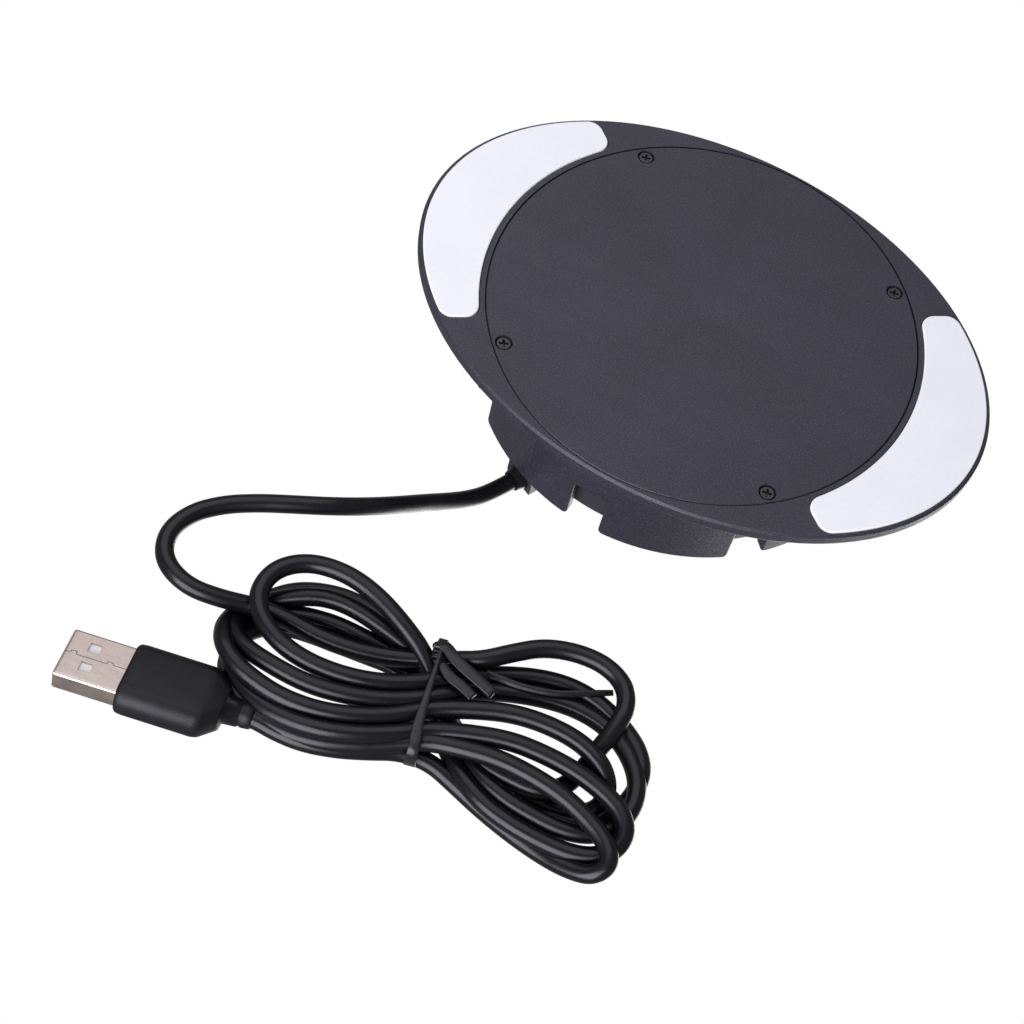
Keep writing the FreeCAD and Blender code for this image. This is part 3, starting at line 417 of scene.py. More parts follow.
run = [
    (-18.52, 44.72, 27.2), (-20.9, 50.4, 27.1), (-23.5, 55.6, 25.0), (-26.1, 60.8, 21.4),
    (-28.6, 66.2, 17.0), (-30.9, 71.8, 12.4), (-33.6, 77.6, 7.8), (-37, 82.9, 4.2),
    (-41.3, 87.2, 2.3), (-46.4, 90.6, 2.0), (-52.4, 94.4, 2.0), (-58.0, 98.8, 2.0),
    (-62.2, 104.2, 2.0), (-63.4, 110.6, 2.0), (-60.4, 116.1, 2.0), (-53.4, 118.2, 2.2),
    (-46.4, 115.8, 3.8),
]
half_turns = {
    "under the first loop": [
        (-40.8, 112.6, 5.6), (-34.4, 111.3, 6), (-26.7, 111.1, 6), (-19.2, 109.4, 6),
        (-12.5, 106.5, 6.2), (-6.9, 103.4, 5.6),
    ],
    "right 1": [
        (-2.1, 101.2, 4), (2.8, 98.8, 2.4), (6.8, 94.4, 2), (11.4, 89.7, 2), (17.4, 86.9, 2),
        (23.5, 86, 2), (28.8, 87.7, 2), (31.6, 91.8, 2), (31.7, 96.9, 3), (30.8, 102, 5.6),
        (30.4, 107.1, 6), (29, 112, 6), (25.1, 115, 6), (19.5, 115.8, 6), (13, 115.9, 6.6),
        (5.3, 113.4, 8),
    ],
    "left 1": [
        (-1, 108, 7), (-7.6, 103, 4.6), (-15.3, 100.5, 2.4), (-22.3, 98.5, 2),
        (-29.1, 97.9, 2), (-35.7, 99.5, 2), (-40.1, 103.1, 2), (-41.8, 107.6, 2),
        (-40.8, 112.5, 2), (-36.9, 116.3, 2), (-30.7, 118.5, 2), (-23.6, 118.6, 2),
        (-15.7, 116.6, 2.2), (-8.7, 112.8, 2.8), (-3.6, 108.3, 3.4),
    ],
    "right 2": [
        (1.8, 102.5, 4.6), (7.1, 97.7, 5.8), (13.7, 93.8, 6), (20.2, 91.8, 6), (26.9, 92, 6),
        (33.7, 94.3, 6), (38.5, 97.2, 6), (40.9, 101, 6.4), (41.1, 105.5, 8.4),
        (39.4, 110.3, 9.8), (35.5, 114.8, 9.8), (30.2, 116.8, 9.8), (23, 117.3, 9.8),
        (14.8, 116.4, 9.8), (6.5, 113, 9.9),
    ],
    "left 2": [
        (-0.5, 107, 9.8), (-7.3, 103, 9), (-12.1, 102.2, 7.4), (-17.7, 102, 6),
        (-24.2, 101.6, 6), (-29.5, 102.4, 6), (-33.8, 104.6, 6), (-37.9, 107.6, 7),
        (-41.5, 110.8, 8.6), (-43.6, 114.9, 8.1), (-42, 119.3, 5.8), (-37.2, 122.4, 3.2),
        (-29.6, 123.1, 2), (-22.4, 122.6, 2), (-15.5, 120.5, 2.2), (-8.7, 117, 2.8),
        (-1.9, 111.6, 3.4),
    ],
    "right 3": [
        (3.4, 105.1, 4.6), (9.3, 100.7, 5.8), (15.9, 97.6, 5.8), (22.4, 95.7, 5.8),
        (28.5, 95.5, 5.8), (34, 97, 5.8), (38.9, 100.3, 5.8), (41.7, 104.4, 5.8),
        (42.6, 109.3, 5.8), (41.3, 113.9, 5.8), (38, 117.5, 5.8), (32.8, 119.5, 5.8),
        (26.8, 120, 5.8), (20.4, 120, 5.8), (13.5, 118.2, 6.4), (6.6, 113.6, 8.4),
    ],
    "left 3": [
        (0, 107.6, 10.4), (-7.4, 102.2, 10.6), (-14.4, 100, 10), (-21, 98.6, 9.8),
        (-27.4, 98.4, 9.8), (-33.4, 100.5, 9.8), (-37.9, 103.6, 9.8), (-41.1, 108.1, 10),
        (-43.8, 112.7, 9.6), (-44, 118.5, 6.4), (-41.4, 123.5, 3), (-36.9, 126.6, 2),
        (-31.1, 127.7, 2), (-24.7, 127.8, 2), (-17.8, 126.3, 2), (-11.4, 123.2, 2.2),
        (-5.7, 119, 2.8), (-0.5, 113.3, 3.4),
    ],
    "right 4": [
        (6.4, 109, 2.6), (13.9, 105.3, 2), (21.5, 103.5, 2), (28.2, 103.4, 2),
        (33.5, 105, 2.4), (36.6, 107.4, 4.4), (37.1, 110.5, 7), (34.7, 113, 9),
        (30.7, 114.6, 9.6), (25.9, 115.5, 9.6), (20, 115.9, 9.6), (13.5, 115, 9.8),
        (7, 112.4, 10.2),
    ],
    "left 4": [
        (0, 107.8, 10.6), (-7.1, 104.2, 10.6), (-13.8, 103.7, 10), (-19.8, 104.6, 9.2),
        (-26.3, 105.3, 9), (-32, 107, 9), (-36.7, 108.6, 10), (-40.4, 111.8, 10.6),
        (-41.8, 117.2, 9.6), (-40.1, 123, 7), (-36.7, 126.9, 6), (-31.4, 129.5, 4.8),
        (-24.7, 130.9, 3.4), (-17.3, 130, 2.2), (-10.3, 127, 2.2), (-4.2, 122.6, 2.8),
        (1.9, 117.1, 3.4),
    ],
    "right 5": [
        (8.3, 113.9, 2.6), (15.8, 110.8, 2), (22.8, 109.5, 2), (29.7, 109.1, 2),
        (36, 109.8, 2), (41, 111.3, 2), (44.2, 114.4, 2.8), (43.9, 118.4, 4.4),
        (40.4, 121.3, 5.5), (36.2, 122.8, 5.8), (31.5, 123.5, 5.8), (24.8, 123.9, 5.8),
        (17.7, 123.2, 5.8),
        (11.1, 120.4, 6.4), (5, 115.5, 8.4),
    ],
    "left 5": [
        (-0.5, 110, 10.2), (-6, 106.4, 10.4), (-12.3, 105.9, 10.2), (-19.1, 107.4, 10),
        (-26.9, 109, 9.8), (-34.2, 110.4, 10.4), (-39.1, 113.5, 10.8), (-40.9, 118.4, 10.4),
        (-39.7, 124.6, 8.6), (-35.4, 129.3, 6.6), (-29.7, 131.8, 5.8), (-23.2, 132.3, 5.2),
        (-16.2, 130.9, 4.8), (-9.6, 127.8, 4.6), (-3.3, 123.5, 4.6), (2.7, 119, 3.8),
    ],
    "right 6": [
        (9.3, 117, 2.6), (16.3, 115.2, 2), (23.7, 114.6, 2), (30.5, 114.9, 2),
        (36.7, 116.4, 2), (42, 118.6, 2), (44.6, 121.8, 2.4), (42.8, 124.8, 4.2),
        (37.8, 125.2, 6.6), (32, 124.6, 8.6), (25.2, 123.8, 9.4), (17.7, 122.8, 9.2),
        (10.9, 121.6, 8.4), (5, 120.8, 7.4),
    ],
    "tail to the plug": [
        (-1, 122.4, 6.8), (-6, 126, 6.4), (-11.5, 129.4, 6), (-17.2, 131.8, 5.8),
        (-22.4, 132.8, 5.6), (-27.4, 132.9, 5.6), (-31.0, 133.7, 5.6),
    ],
}
route = [Vector(p) * mm for p in run]
for part in half_turns.values():
    route.extend(Vector(p) * mm for p in part)
print("route points:", len(route))

# %% [markdown]
# The places become the control points of one NURBS curve of order 3, which is smooth without
# swinging past them, and a round bevel gives it its thickness. It stays a curve here, so
# its middle line can still be measured.

# %% one smooth spline
curve = bpy.data.curves.new("cable", "CURVE")
curve.dimensions = "3D"
spline = curve.splines.new("NURBS")
spline.points.add(len(route) - 1)
for point, place in zip(spline.points, route):
    point.co = (*place, 1.0)
spline.order_u = 3
spline.use_endpoint_u = True
spline.use_smooth = True
spline.resolution_u = 8
curve.bevel_depth = cable_radius
curve.bevel_resolution = 5
curve.use_fill_caps = True
cable = bpy.data.objects.new("cable", curve)
bpy.context.collection.objects.link(cable)
curve.materials.append(finish["cable_jacket"])
print("cable across mm:", round(2 * curve.bevel_depth / mm, 1))

# %% [markdown]
# A cable has a length that can't change and a bend that it won't go below. The bend is worked
# out from the same quadratic pieces that the curve is made of: three neighbours lie on one
# circle, and its radius is the bend there.

# %% measuring the cable


def centreline(points, steps=8):
    """Points on the quadratic B-spline that has these control points."""
    line = []
    last = len(points) - 2
    for i in range(1, len(points) - 1):
        before = points[i - 1] if i == 1 else (points[i - 1] + points[i]) / 2
        after = points[i + 1] if i == last else (points[i] + points[i + 1]) / 2
        for k in range(steps):
            t = k / steps
            line.append(before * (1 - t) ** 2 + points[i] * (2 * t * (1 - t)) + after * t * t)
    line.append(points[-1])
    return line


line = centreline(route)
tightest = 1.0
for a, b, c in zip(line, line[1:], line[2:]):
    area = (b - a).cross(c - a).length / 2
    if area > 1e-12:
        tightest = min(tightest, (b - a).length * (c - b).length * (c - a).length / (4 * area))
print("lowest mm:", round((min(p.z for p in line) - cable_radius) / mm, 2))

# %% [markdown]
# ## The tie
#
# The tie is a flat plastic strip with a wire inside. It goes once round the waist, is
# twisted on itself into a small knot at one edge, and leaves its ends sticking out: one
# broad end, one tucked under it and one that curls away to the side. Each length is a flat
# strap swept along a few points, with its width and the way it faces given at every point,
# because a strap that twists changes its width as it is seen.

# %% strap maker
path_steps = 6


def smooth_path(points, steps=path_steps):
    """Points on a curve through these points (each a vector of any length)."""
    path = []
    ends = [points[0] * 2 - points[1], *points, points[-1] * 2 - points[-2]]
    for a, b, c, d in zip(ends, ends[1:], ends[2:], ends[3:]):
        for k in range(steps):
            t = k / steps
            path.append(0.5 * (2 * b + (c - a) * t + (2 * a - 5 * b + 4 * c - d) * t * t
                               + (3 * b - 3 * c + d - a) * t ** 3))
    path.append(points[-1])
    return path


def mesh_piece(name, verts, faces, slot, smooth=True):
    """A mesh object at the origin with its finish and its place in the frame's base body."""
    mesh = bpy.data.meshes.new(name)
    mesh.from_pydata([tuple(v) for v in verts], [], faces)
    mesh.materials.append(finish[slot])
    work = bmesh.new()
    work.from_mesh(mesh)
    bmesh.ops.remove_doubles(work, verts=work.verts, dist=1e-7)
    bmesh.ops.recalc_face_normals(work, faces=work.faces)
    work.to_mesh(mesh)
    work.free()
    mesh.polygons.foreach_set("use_smooth", [smooth] * len(mesh.polygons))
    piece = bpy.data.objects.new(name, mesh)
    bpy.context.collection.objects.link(piece)
    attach(piece, "base")
    return piece


def strap(name, stations, thickness, slot, closed=False):
    """A flat strap. Each station is (place in mm, facing direction, width in mm)."""
    places = [Vector(s[0]) for s in stations]
    facings = [Vector(s[1]).normalized() for s in stations]
    widths = [Vector((s[2], 0, 0)) for s in stations]
    if closed:
        places, facings, widths = (x[-1:] + x + x[:2] for x in (places, facings, widths))
    places, facings, widths = (smooth_path(x) for x in (places, facings, widths))
    if closed:
        places, facings, widths = (x[path_steps:-path_steps] for x in (places, facings, widths))
    corner = 0.3
    verts, rings = [], []
    for i, place in enumerate(places):
        ahead = places[min(i + 1, len(places) - 1)] - places[max(i - 1, 0)]
        side = ahead.cross(facings[i]).normalized()
        out = side.cross(ahead).normalized()
        half, deep = widths[i].x / 2, thickness / 2
        ring = []
        for u, v in ((1, -1 + corner), (1, 1 - corner), (1 - corner / 2, 1), (-1 + corner / 2, 1),
                     (-1, 1 - corner), (-1, -1 + corner), (-1 + corner / 2, -1),
                     (1 - corner / 2, -1)):
            ring.append(len(verts))
            verts.append((place + side * half * u + out * deep * v) * mm)
        rings.append(ring)
    faces = []
    joined = zip(rings, rings[1:] + rings[:1]) if closed else zip(rings, rings[1:])
    for one, two in joined:
        for k in range(8):
            m = (k + 1) % 8
            faces.append((one[k], one[m], two[m], two[k]))
    if not closed:
        faces += [tuple(rings[0]), tuple(reversed(rings[-1]))]
    return mesh_piece(name, verts, faces, slot)


# %% [markdown]
# The band is one closed strap through places that run along the underside, up past the foot
# of the bundle, back over it and down behind the knot. Most are measured from the knot or
# from the foot. Those two, two places on the underside and the free ends are given where
# they lie, so moving the tie means moving each of them.

# %% the band round the waist
UNDER, OVER = Vector((0, 0, -1)), Vector((0, 0, 1))
knot = Vector((-4.6, 103.0, 1.1))
foot = Vector((2.1, 124.0, 1.9))
across = Vector((foot.x - knot.x, foot.y - knot.y, 0)).normalized()
head = knot - across * 3.6
low, high = 0.75, 12.6


def over(x_y, z):
    """A place over a spot of the band's line, at a height."""
    return (x_y.x, x_y.y, z)


band = strap("tie_band", [
    (over(knot + across * 1.5, low), UNDER, 0.9),
    ((-1.6, 113.2, low), UNDER, 1.5),
    ((0.1, 118.8, low), UNDER, 2.1),
    (over(foot - across * 1.6, low + 0.3), UNDER * 2 + across, 2.3),
    (over(foot - across * 0.1, 2.8), across * 2 + UNDER, 2.3),
    (over(foot - across * 0.4, 6.4), across, 2.4),
    (over(foot - across * 2.4, 10.4), across + OVER, 2.7),
    (over(foot - across * 6.0, high), OVER, 2.9),
    (over((foot + head) / 2, high + 0.2), OVER, 3.0),
    (over(head + across * 3.0, high), OVER, 3.0),
    (over(head - across * 0.4, 9.5), OVER * 0.3 - across, 2.8),
    (over(head - across * 0.6, 5.0), -across, 2.4),
    (over(head + across * 0.3, 2.2), UNDER * 0.6 - across, 1.6),
], 0.8, "tie_plastic", closed=True)
print("band faces:", len(band.data.polygons))

# %% the three free ends
broad_end = strap("tie_broad_end", [
    ((-6.6, 101.6, 1.6), (-0.6, -0.6, -0.6), 2.4),
    ((-4.6, 101.2, 0.9), (-0.1, -0.3, -1), 2.5),
    ((-1.0, 102.6, 0.8), (0, 0, -1), 2.4),
    ((3.4, 103.6, 0.8), (0, 0, -1), 2.4),
    ((8.6, 104.6, 1.0), (0, 0, -1), 2.2),
], 0.8, "tie_plastic")
tucked_end = strap("tie_tucked_end", [
    ((-3.6, 104.4, 1.5), (0.1, 0, -1), 2.0),
    ((-0.6, 106.0, 1.2), (0.1, 0, -1), 2.2),
    ((2.6, 106.6, 1.1), (0, 0, -1), 2.2),
    ((5.6, 107.4, 1.0), (0, 0, -1), 2.0),
], 0.7, "tie_plastic")
curled_end = strap("tie_curled_end", [
    ((-2.2, 100.6, 4.6), (0.1, 0.4, -1), 1.8),
    ((4.6, 100.0, 3.9), (0.1, 0.5, -1), 1.5),
    ((11.8, 98.9, 3.4), (0, 0.6, -1), 1.4),
    ((18.3, 96.4, 3.2), (0, 0.6, -1), 1.3),
    ((23.4, 92.6, 3.6), (-0.2, 0.6, -1), 1.3),
    ((27.4, 89.2, 4.6), (-0.3, 0.6, -1), 1.2),
], 0.7, "tie_plastic")
print("free ends:", broad_end.name, tucked_end.name, curled_end.name)

# %% the twisted knot
turns = 3
turn_places = 10
turn_pitch = 1.1
turn_rise = 0.35
sideways = Vector((-across.y, across.x, 0))
wraps = []
for index in range(turns):
    turn = []
    for k in range(turn_places):
        angle = 2 * math.pi * k / turn_places
        centre = knot + across * (index * turn_pitch - 2.0) + OVER * (turn_rise * index + 0.3)
        out = sideways * math.cos(angle) * 1.3 + OVER * math.sin(angle) * 0.7
        turn.append(((*(centre + out).xy, (centre + out).z + 0.35), out, 1.0))
    wraps.append(strap("tie_knot_turn_%d" % (index + 1), turn, 0.6, "tie_plastic", closed=True))
tie_pieces = [band, broad_end, tucked_end, curled_end, *wraps]
print("tie pieces:", len(tie_pieces), " knot at mm:", [round(v, 1) for v in knot])

# %% [markdown]
# ## The plug
#
# A USB-A plug: a nickel-plated shell folded from sheet, so a seam with two little locking
# keys runs along its lower face, and two square windows show the white plastic inside.
# Its grip is moulded over it in the same soft black as the cable, with fat rounded edges,
# a bevelled back and a short tapered boot. Both are lofts of rounded rectangles along the
# plug's own axis; the shell is then hollowed and its windows are cut.

# %% lofts in the plug's own frame
plug_back = Vector((-33.0, 134.2, 5.61)) * mm
plug_heading = math.radians(165.0)
plug_roll = math.radians(14.0)
plug_place = (Matrix.Translation(plug_back) @ Matrix.Rotation(plug_heading, 4, "Z")
              @ Matrix.Rotation(plug_roll, 4, "X"))


def rounded(width, height, radius, steps=6):
    """A rounded rectangle's outline as (y, z) pairs."""
    outline = []
    for corner, (sy, sz) in enumerate(((1, 1), (-1, 1), (-1, -1), (1, -1))):
        for k in range(steps + 1):
            angle = math.radians(90 * corner + 90 * k / steps)
            outline.append((sy * (width / 2 - radius) + radius * math.cos(angle),
                            sz * (height / 2 - radius) + radius * math.sin(angle)))
    return outline


def loft(stations):
    """Vertices (metres) and faces of a closed loft; a station is x, width, height, radius."""
    verts, rings = [], []
    for x, width, height, radius in stations:
        ring = []
        for y, z in rounded(width, height, radius):
            ring.append(len(verts))
            verts.append(Vector((x, y, z)) * mm)
        rings.append(ring)
    count = len(rings[0])
    faces = [(one[k], one[(k + 1) % count], two[(k + 1) % count], two[k])
             for one, two in zip(rings, rings[1:]) for k in range(count)]
    faces += [tuple(reversed(rings[0])), tuple(rings[-1])]
    return verts, faces


# %% the grip and its boot
verts, faces = loft([
    (-5.6, 4.3, 4.3, 2.1), (-5.2, 4.9, 4.9, 2.4), (-3.6, 5.2, 5.2, 2.55), (-3.4, 4.9, 4.9, 2.4),
    (-3.0, 4.9, 4.9, 2.4), (-2.8, 5.4, 5.4, 2.65), (0.0, 5.9, 5.9, 2.9), (0.1, 9.0, 5.6, 2.4),
    (0.5, 9.8, 5.9, 2.6), (3.0, 14.2, 7.2, 3.1), (3.6, 15.0, 7.4, 3.2), (4.6, 15.5, 7.5, 3.2),
    (18.2, 15.5, 7.5, 3.2), (19.2, 15.3, 7.3, 3.1), (19.7, 14.9, 6.9, 2.9), (20.0, 14.2, 6.2, 2.6),
])
grip = mesh_piece("plug_grip", [plug_place @ v for v in verts], faces, "plug_plastic")
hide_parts("plug_body")
print("grip faces:", len(faces))

# %% [markdown]
# The shell starts as a solid bar with a slightly drawn-in mouth. A smaller bar is cut out of
# it, which leaves the sheet's thickness, and two short bars cut the windows. Boolean
# modifiers do the cutting, and the result is read back as a plain mesh.

# %% cutting helpers


def cutter(name, verts, faces):
    """A helper mesh object that only cuts."""
    mesh = bpy.data.meshes.new(name)
    mesh.from_pydata([tuple(v) for v in verts], [], faces)
    helper = bpy.data.objects.new(name, mesh)
    bpy.context.collection.objects.link(helper)
    return helper


def baked(source):
    """The source's evaluated mesh, with its modifiers taken off it."""
    graph = bpy.context.evaluated_depsgraph_get()
    mesh = bpy.data.meshes.new_from_object(source.evaluated_get(graph))
    source.modifiers.clear()
    return mesh


# %% the folded shell's cutting bars
shell_start = 15.0
shell_end = 32.6
shell_width = 12.0
shell_height = 4.5
sheet = 0.35
window = 2.3
window_mid = shell_end - 5.2
window_offset = 2.5

# each row of the mouth: how far back from the end, how much smaller, and the corner's radius
mouth = [(0.5, 0.0, 0.6), (0.15, 0.15, 0.55), (0.0, 0.4, 0.5)]
outside = [(shell_start, shell_width, shell_height, 0.6)]
for back, smaller, radius in mouth:
    outside.append((shell_end - back, shell_width - smaller, shell_height - smaller, radius))
inside = [(x, shell_width - 2 * sheet, shell_height - 2 * sheet, 0.3)
          for x in (shell_start - 0.5, shell_end + 1)]
hole = [(window_mid + side * window / 2, window, 2 * shell_height, 0.25) for side in (-1, 1)]

outer = cutter("shell_outside", *loft(outside))
tools = [cutter("shell_inside", *loft(inside))]
for side in (-1, 1):
    verts, faces = loft(hole)
    offset = Vector((0, side * window_offset * mm, 0))
    tools.append(cutter("shell_window", [v + offset for v in verts], faces))
print("cutting bars:", len(tools))

# %% the folded shell
for tool in tools:
    step = outer.modifiers.new("cut", "BOOLEAN")
    step.operation = "DIFFERENCE"
    step.solver = "EXACT"
    step.object = tool
shell_mesh = baked(outer)
verts = [plug_place @ v.co for v in shell_mesh.vertices]
faces = [tuple(p.vertices) for p in shell_mesh.polygons]
for helper in [outer, *tools]:
    bpy.data.objects.remove(helper)
shell = mesh_piece("plug_folded_shell", verts, faces, "plug_metal", smooth=False)
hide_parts("plug_shell")

# %% [markdown]
# Where the sheet's two edges meet, two small keys lock them together. At this size the joint
# is only a narrow gap in shade, so that shade is painted: a hair-thin black strap laid on the lower
# face.

# %% the seam's painted shade, with its two keys
face_z = -shell_height / 2
seam_line = [(32.5, 0.0), (31.4, 0.0), (31.1, 0.55), (30.2, 0.55), (29.9, -0.1), (27.0, -0.1),
             (24.2, -0.1), (23.9, 0.5), (23.0, 0.5), (22.7, 0.0), (21.2, 0.0), (20.2, 0.0)]
down = plug_place.to_3x3() @ Vector((0, 0, -1))
stations = [(plug_place @ (Vector((x, y, face_z)) * mm) / mm, down, 0.14) for x, y in seam_line]
seam_shade_strip = strap("plug_seam_painted_shade", stations, 0.03, "plug_metal")
# the strap takes the black screw finish as painted shade of the gap between the sheet's edges
seam_shade_strip.data.materials[0] = finish["black_screw"]
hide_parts("plug_shell")
print("plug pieces:", grip.name, shell.name, seam_shade_strip.name, " shell faces:", len(faces))

# %% [markdown]
# ## The screws
#
# The same small cross-recessed screw holds the cover, the board and the ball's housing, on
# three different circles. One Geometry Nodes group makes it: a flat head with a tapered edge,
# a cross cut into it and a plain shank, set on the corners of a ring, each turned by its own
# random angle, as screws stop where they stop. Only the numbers differ from set to set.

# %% the screw group
edge_taper = 0.86
most_turn = 1.5


def screw_group():
    """The node group that makes a ring of screws."""
    tree = bpy.data.node_groups.new("ring of screws", "GeometryNodeTree")
    wanted = [("Count", "Int"), ("Circle", "Float"), ("First Angle", "Float"), ("Face Z", "Float"),
              ("Tilt", "Float"), ("Head Radius", "Float"), ("Head Height", "Float"),
              ("Shank Radius", "Float"), ("Shank Length", "Float"), ("Recess Length", "Float"),
              ("Recess Width", "Float"), ("Recess Depth", "Float"), ("Seed", "Int")]
    for label, kind in wanted:
        tree.interface.new_socket(label, in_out="INPUT", socket_type="NodeSocket" + kind)
    tree.interface.new_socket("Material", in_out="INPUT", socket_type="NodeSocketMaterial")
    tree.interface.new_socket("Geometry", in_out="OUTPUT", socket_type="NodeSocketGeometry")
    ins = tree.nodes.new("NodeGroupInput").outputs
    outs = tree.nodes.new("NodeGroupOutput").inputs

    def vector(x=0.0, y=0.0, z=0.0):
        return add(tree, "ShaderNodeCombineXYZ", X=x, Y=y, Z=z).outputs[0]

    def shifted(mesh, by, turn=None):
        node = tree.nodes.new("GeometryNodeTransform")
        put(tree, node.inputs["Geometry"], mesh)
        put(tree, node.inputs["Translation"], by)
        if turn is not None:
            put(tree, node.inputs["Rotation"], turn)
        return node.outputs[0]

    head = tree.nodes.new("GeometryNodeMeshCone")
    for label, value in (("Vertices", 40), ("Depth", ins["Head Height"]),
                         ("Radius Top", ins["Head Radius"]),
                         ("Radius Bottom", maths(tree, "MULTIPLY", ins["Head Radius"], edge_taper))):
        put(tree, head.inputs[label], value)
    recessed = tree.nodes.new("GeometryNodeMeshBoolean")
    recessed.operation = "DIFFERENCE"
    put(tree, recessed.inputs["Mesh 1"], head.outputs["Mesh"])
    deep = maths(tree, "MULTIPLY", ins["Recess Depth"], 2.0)
    for flip in (False, True):
        cube = tree.nodes.new("GeometryNodeMeshCube")
        size = (ins["Recess Width"], ins["Recess Length"]) if flip else (
            ins["Recess Length"], ins["Recess Width"])
        put(tree, cube.inputs["Size"], vector(size[0], size[1], deep))
        tree.links.new(cube.outputs[0], recessed.inputs["Mesh 2"])
    shank = tree.nodes.new("GeometryNodeMeshCylinder")
    for label, value in (("Vertices", 24), ("Radius", ins["Shank Radius"]),
                         ("Depth", ins["Shank Length"])):
        put(tree, shank.inputs[label], value)
    half_shank = maths(tree, "MULTIPLY", ins["Shank Length"], 0.5)
    rise = maths(tree, "ADD", ins["Head Height"], half_shank)
    whole = tree.nodes.new("GeometryNodeJoinGeometry")
    tree.links.new(recessed.outputs[0], whole.inputs[0])
    tree.links.new(shifted(shank.outputs["Mesh"], vector(z=rise)), whole.inputs[0])
    ring = tree.nodes.new("GeometryNodeMeshCircle")
    put(tree, ring.inputs["Vertices"], ins["Count"])
    put(tree, ring.inputs["Radius"], ins["Circle"])
    spots = shifted(ring.outputs[0], vector(z=ins["Face Z"]), vector(z=ins["First Angle"]))
    chance = tree.nodes.new("FunctionNodeRandomValue")
    put(tree, chance.inputs[2], 0.0)
    put(tree, chance.inputs[3], most_turn)
    put(tree, chance.inputs["Seed"], ins["Seed"])
    placed = tree.nodes.new("GeometryNodeInstanceOnPoints")
    put(tree, placed.inputs["Points"], spots)
    put(tree, placed.inputs["Instance"], whole.outputs[0])
    put(tree, placed.inputs["Rotation"], vector(x=ins["Tilt"], z=chance.outputs[1]))
    real = tree.nodes.new("GeometryNodeRealizeInstances")
    put(tree, real.inputs[0], placed.outputs[0])
    coloured = tree.nodes.new("GeometryNodeSetMaterial")
    put(tree, coloured.inputs["Geometry"], real.outputs[0])
    put(tree, coloured.inputs["Material"], ins["Material"])
    put(tree, outs["Geometry"], coloured.outputs[0])
    return tree


screws_tree = screw_group()
print("screw group inputs:", len(screws_tree.interface.items_tree) - 1)

# %% [markdown]
# A set is made by giving the group its numbers by each socket's identifier. The set's
# heights come from the measured screws that it stands in for, so heads stay in their
# counterbores, and the finished ring becomes one plain mesh.

# %% a set of screws
head_radius = 1.72 * mm
shank_radius = 0.98 * mm
recess_length = 2.1 * mm
recess_width = 0.55 * mm
recess_share = 0.92


def screws(name, node, count, circle, first, slot, facing_up, seed, head_height):
    """A ring of screws in place of a frame node, with its heights taken from that node."""
    low_z, high_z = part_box(node)[0][2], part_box(node)[1][2]
    source = bpy.data.objects.new(name + "_source", bpy.data.meshes.new(name))
    bpy.context.collection.objects.link(source)
    step = source.modifiers.new("screws", "NODES")
    step.node_group = screws_tree
    values = {
        "Count": count, "Circle": circle * mm, "First Angle": math.radians(first),
        "Face Z": high_z if facing_up else low_z,
        "Tilt": math.pi if facing_up else 0.0, "Head Radius": head_radius,
        "Head Height": head_height * mm, "Shank Radius": shank_radius,
        "Shank Length": high_z - low_z - head_height * mm,
        "Recess Length": recess_length, "Recess Width": recess_width,
        "Recess Depth": recess_share * head_height * mm,
        "Seed": seed, "Material": finish[slot],
    }
    for item in screws_tree.interface.items_tree:
        if item.in_out == "INPUT":
            step[item.identifier] = values[item.name]
    mesh = baked(source)
    bpy.data.objects.remove(source)
    piece = bpy.data.objects.new(name, mesh)
    bpy.context.collection.objects.link(piece)
    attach(piece, "base")
    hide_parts(node)
    return piece


sets = [
    screws("cover_screw_set", "cover_screws", 4, 45.5, 45.0, "black_screw", False, 3, 1.0),
    screws("board_screw_set", "board_screws", 4, 36.0, 45.0, slot_of["board_screws"], False, 5, 0.8),
    screws("housing_screw_set", "housing_screws", 3, 25.3, 30.0, slot_of["housing_screws"], True,
           8, 0.8),
]
print("screw sets:", [(piece.name, len(piece.data.polygons)) for piece in sets])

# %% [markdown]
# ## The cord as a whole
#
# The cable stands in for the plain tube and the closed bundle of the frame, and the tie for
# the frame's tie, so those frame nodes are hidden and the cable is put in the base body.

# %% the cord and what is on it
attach(cable, "base")
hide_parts("cord", "cord_hank")
for piece in tie_pieces:
    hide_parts("twist_tie")

# %% [markdown]
# ## Floor, light and camera
#
# The device is shown on its glides on a plain pale table, and the main view looks up at its
# underside, as if the table were glass. So the table's surface exists only for a camera
# above it: seen from below, and for every other kind of ray, it is clear.

# %% the table
floor_mesh = bpy.data.meshes.new("table")
reach = 1.6
floor_z = -0.3 * mm
floor_mesh.from_pydata([(-reach, -reach, floor_z), (reach, -reach, floor_z),
                        (reach, reach, floor_z), (-reach, reach, floor_z)], [], [(0, 1, 2, 3)])
table = bpy.data.objects.new("table", floor_mesh)
bpy.context.collection.objects.link(table)
material = bpy.data.materials.new("table top")
material.use_nodes = True
tree = material.node_tree
tree.nodes.clear()
coords = tree.nodes.new("ShaderNodeTexCoord").outputs["Object"]
tone = mix_colour(tree, ramp(tree, noise(tree, coords, 3.0, 3.0, 0.5), 0.3, 0.7),
                  (0.9, 0.9, 0.9, 1.0), (0.94, 0.94, 0.94, 1.0))
top = add(tree, "ShaderNodeBsdfDiffuse", Color=tone)
clear = add(tree, "ShaderNodeBsdfTransparent")
rays = tree.nodes.new("ShaderNodeLightPath")
facing = tree.nodes.new("ShaderNodeNewGeometry")
front = maths(tree, "SUBTRACT", 1.0, facing.outputs["Backfacing"])
seen = maths(tree, "MULTIPLY", rays.outputs["Is Camera Ray"], front)
either = tree.nodes.new("ShaderNodeMixShader")
put(tree, either.inputs[0], seen)
put(tree, either.inputs[1], clear.outputs[0])
put(tree, either.inputs[2], top.outputs[0])
put(tree, tree.nodes.new("ShaderNodeOutputMaterial").inputs["Surface"], either.outputs[0])
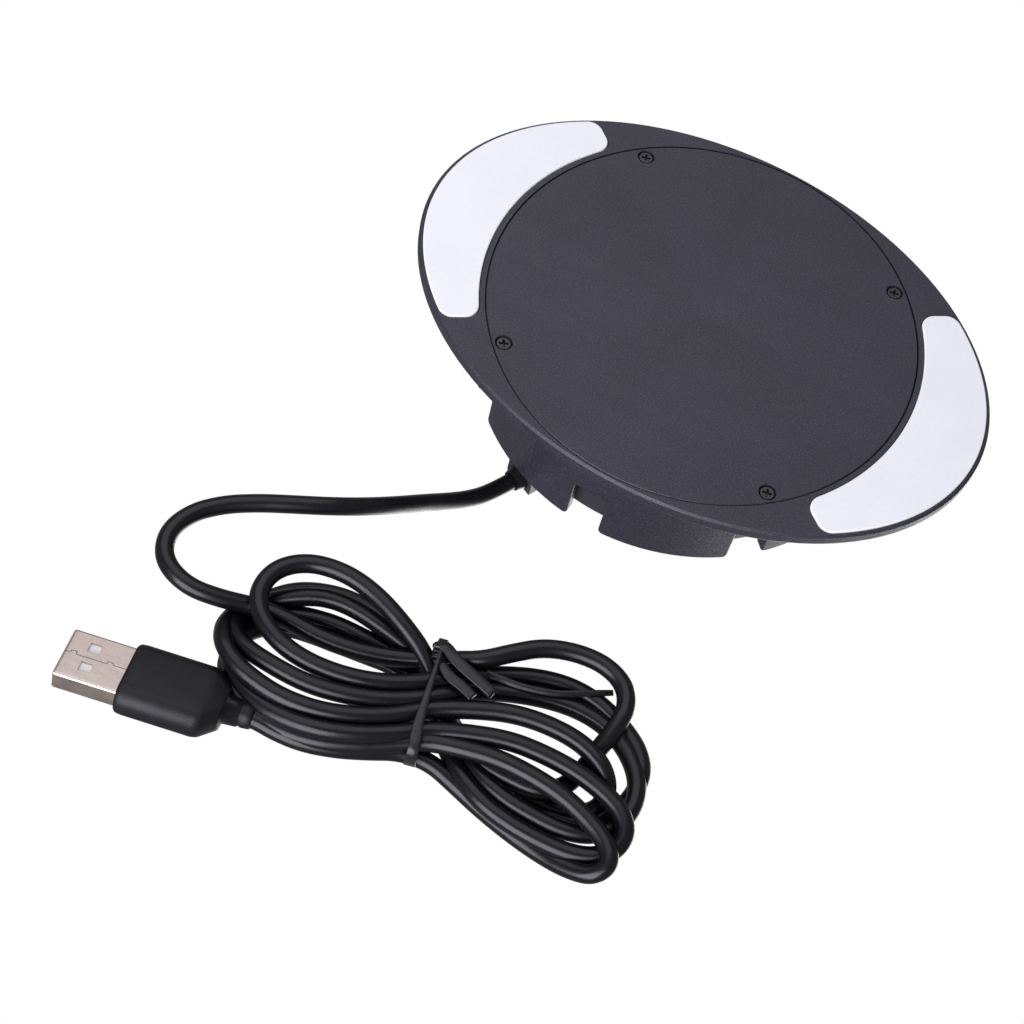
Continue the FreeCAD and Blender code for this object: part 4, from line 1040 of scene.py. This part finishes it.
floor_mesh.materials.append(material)
print("table half width m:", reach)

# %% [markdown]
# The world is white where the camera looks past the object and a dim, slightly cool grey as
# a light, so the backdrop is clean and the black plastics keep their depth.

# %% the world
world = bpy.data.worlds.new("studio")
bpy.context.scene.world = world
world.use_nodes = True
tree = world.node_tree
tree.nodes.clear()
rays = tree.nodes.new("ShaderNodeLightPath")
backdrop = add(tree, "ShaderNodeBackground", Color=WHITE, Strength=1.0)
ambient = add(tree, "ShaderNodeBackground", Color=(0.96, 0.97, 1.0, 1.0), Strength=0.28)
either = tree.nodes.new("ShaderNodeMixShader")
put(tree, either.inputs[0], rays.outputs["Is Camera Ray"])
put(tree, either.inputs[1], ambient.outputs[0])
put(tree, either.inputs[2], backdrop.outputs[0])
put(tree, tree.nodes.new("ShaderNodeOutputWorld").inputs["Surface"], either.outputs[0])

# %% [markdown]
# Three broad soft lamps give long gentle highlights: a large one under the table for the
# underside, a low one behind that fills the crown's wall and the cable, and one over the
# table for the ball and the buttons. The two low ones are slightly cool.

# %% the lamps
middle = (Vector(cad_box[0]) + Vector(cad_box[1])) / 2


def lamp(name, place, size, power, colour=(1.0, 1.0, 1.0)):
    """A soft square lamp that looks at the object's middle."""
    data = bpy.data.lights.new(name, "AREA")
    data.shape = "SQUARE"
    data.size = size
    data.energy = power
    data.color = colour
    thing = bpy.data.objects.new(name, data)
    bpy.context.collection.objects.link(thing)
    thing.location = place
    thing.rotation_euler = (middle - Vector(place)).to_track_quat("-Z", "Y").to_euler()
    return thing


cool = (0.905, 0.9, 1.0)
lamp("under lamp", (-0.3, -0.2, -0.8), 1.0, 5.0, cool)
lamp("under fill", (-0.05, 0.9, -0.32), 0.8, 17.0, cool)
lamp("over lamp", (0.35, -0.3, 0.8), 0.7, 5.0)
print("lamps:", len(bpy.data.lights))

# %% [markdown]
# The camera looks at a spot on the table between the device and its cable, from below and
# behind, and is turned about its own line of sight. A long lens keeps the ovals true.

# %% the camera
camera_data = bpy.data.cameras.new("camera")
camera = bpy.data.objects.new("camera", camera_data)
bpy.context.collection.objects.link(camera)
bpy.context.scene.camera = camera
aim = Vector((-0.0092, 0.06776, 0.0))
distance = 0.42667
below = math.radians(57.844)
heading = math.radians(162.434)
turned = math.radians(-164.754)
forward = Vector((-math.sin(heading) * math.cos(below), math.cos(heading) * math.cos(below),
                  math.sin(below)))
camera.rotation_mode = "QUATERNION"
camera.rotation_quaternion = (forward.to_track_quat("-Z", "Y")
                              @ Quaternion((0, 0, 1), turned))
camera.location = aim - forward * distance
camera_data.lens = 74.09
camera_data.sensor_width = 36.0
camera_data.clip_start = 0.01
camera_data.clip_end = 10.0
print("camera distance m:", distance, " lens mm:", camera_data.lens)

bpy.context.scene.view_settings.view_transform = "Standard"
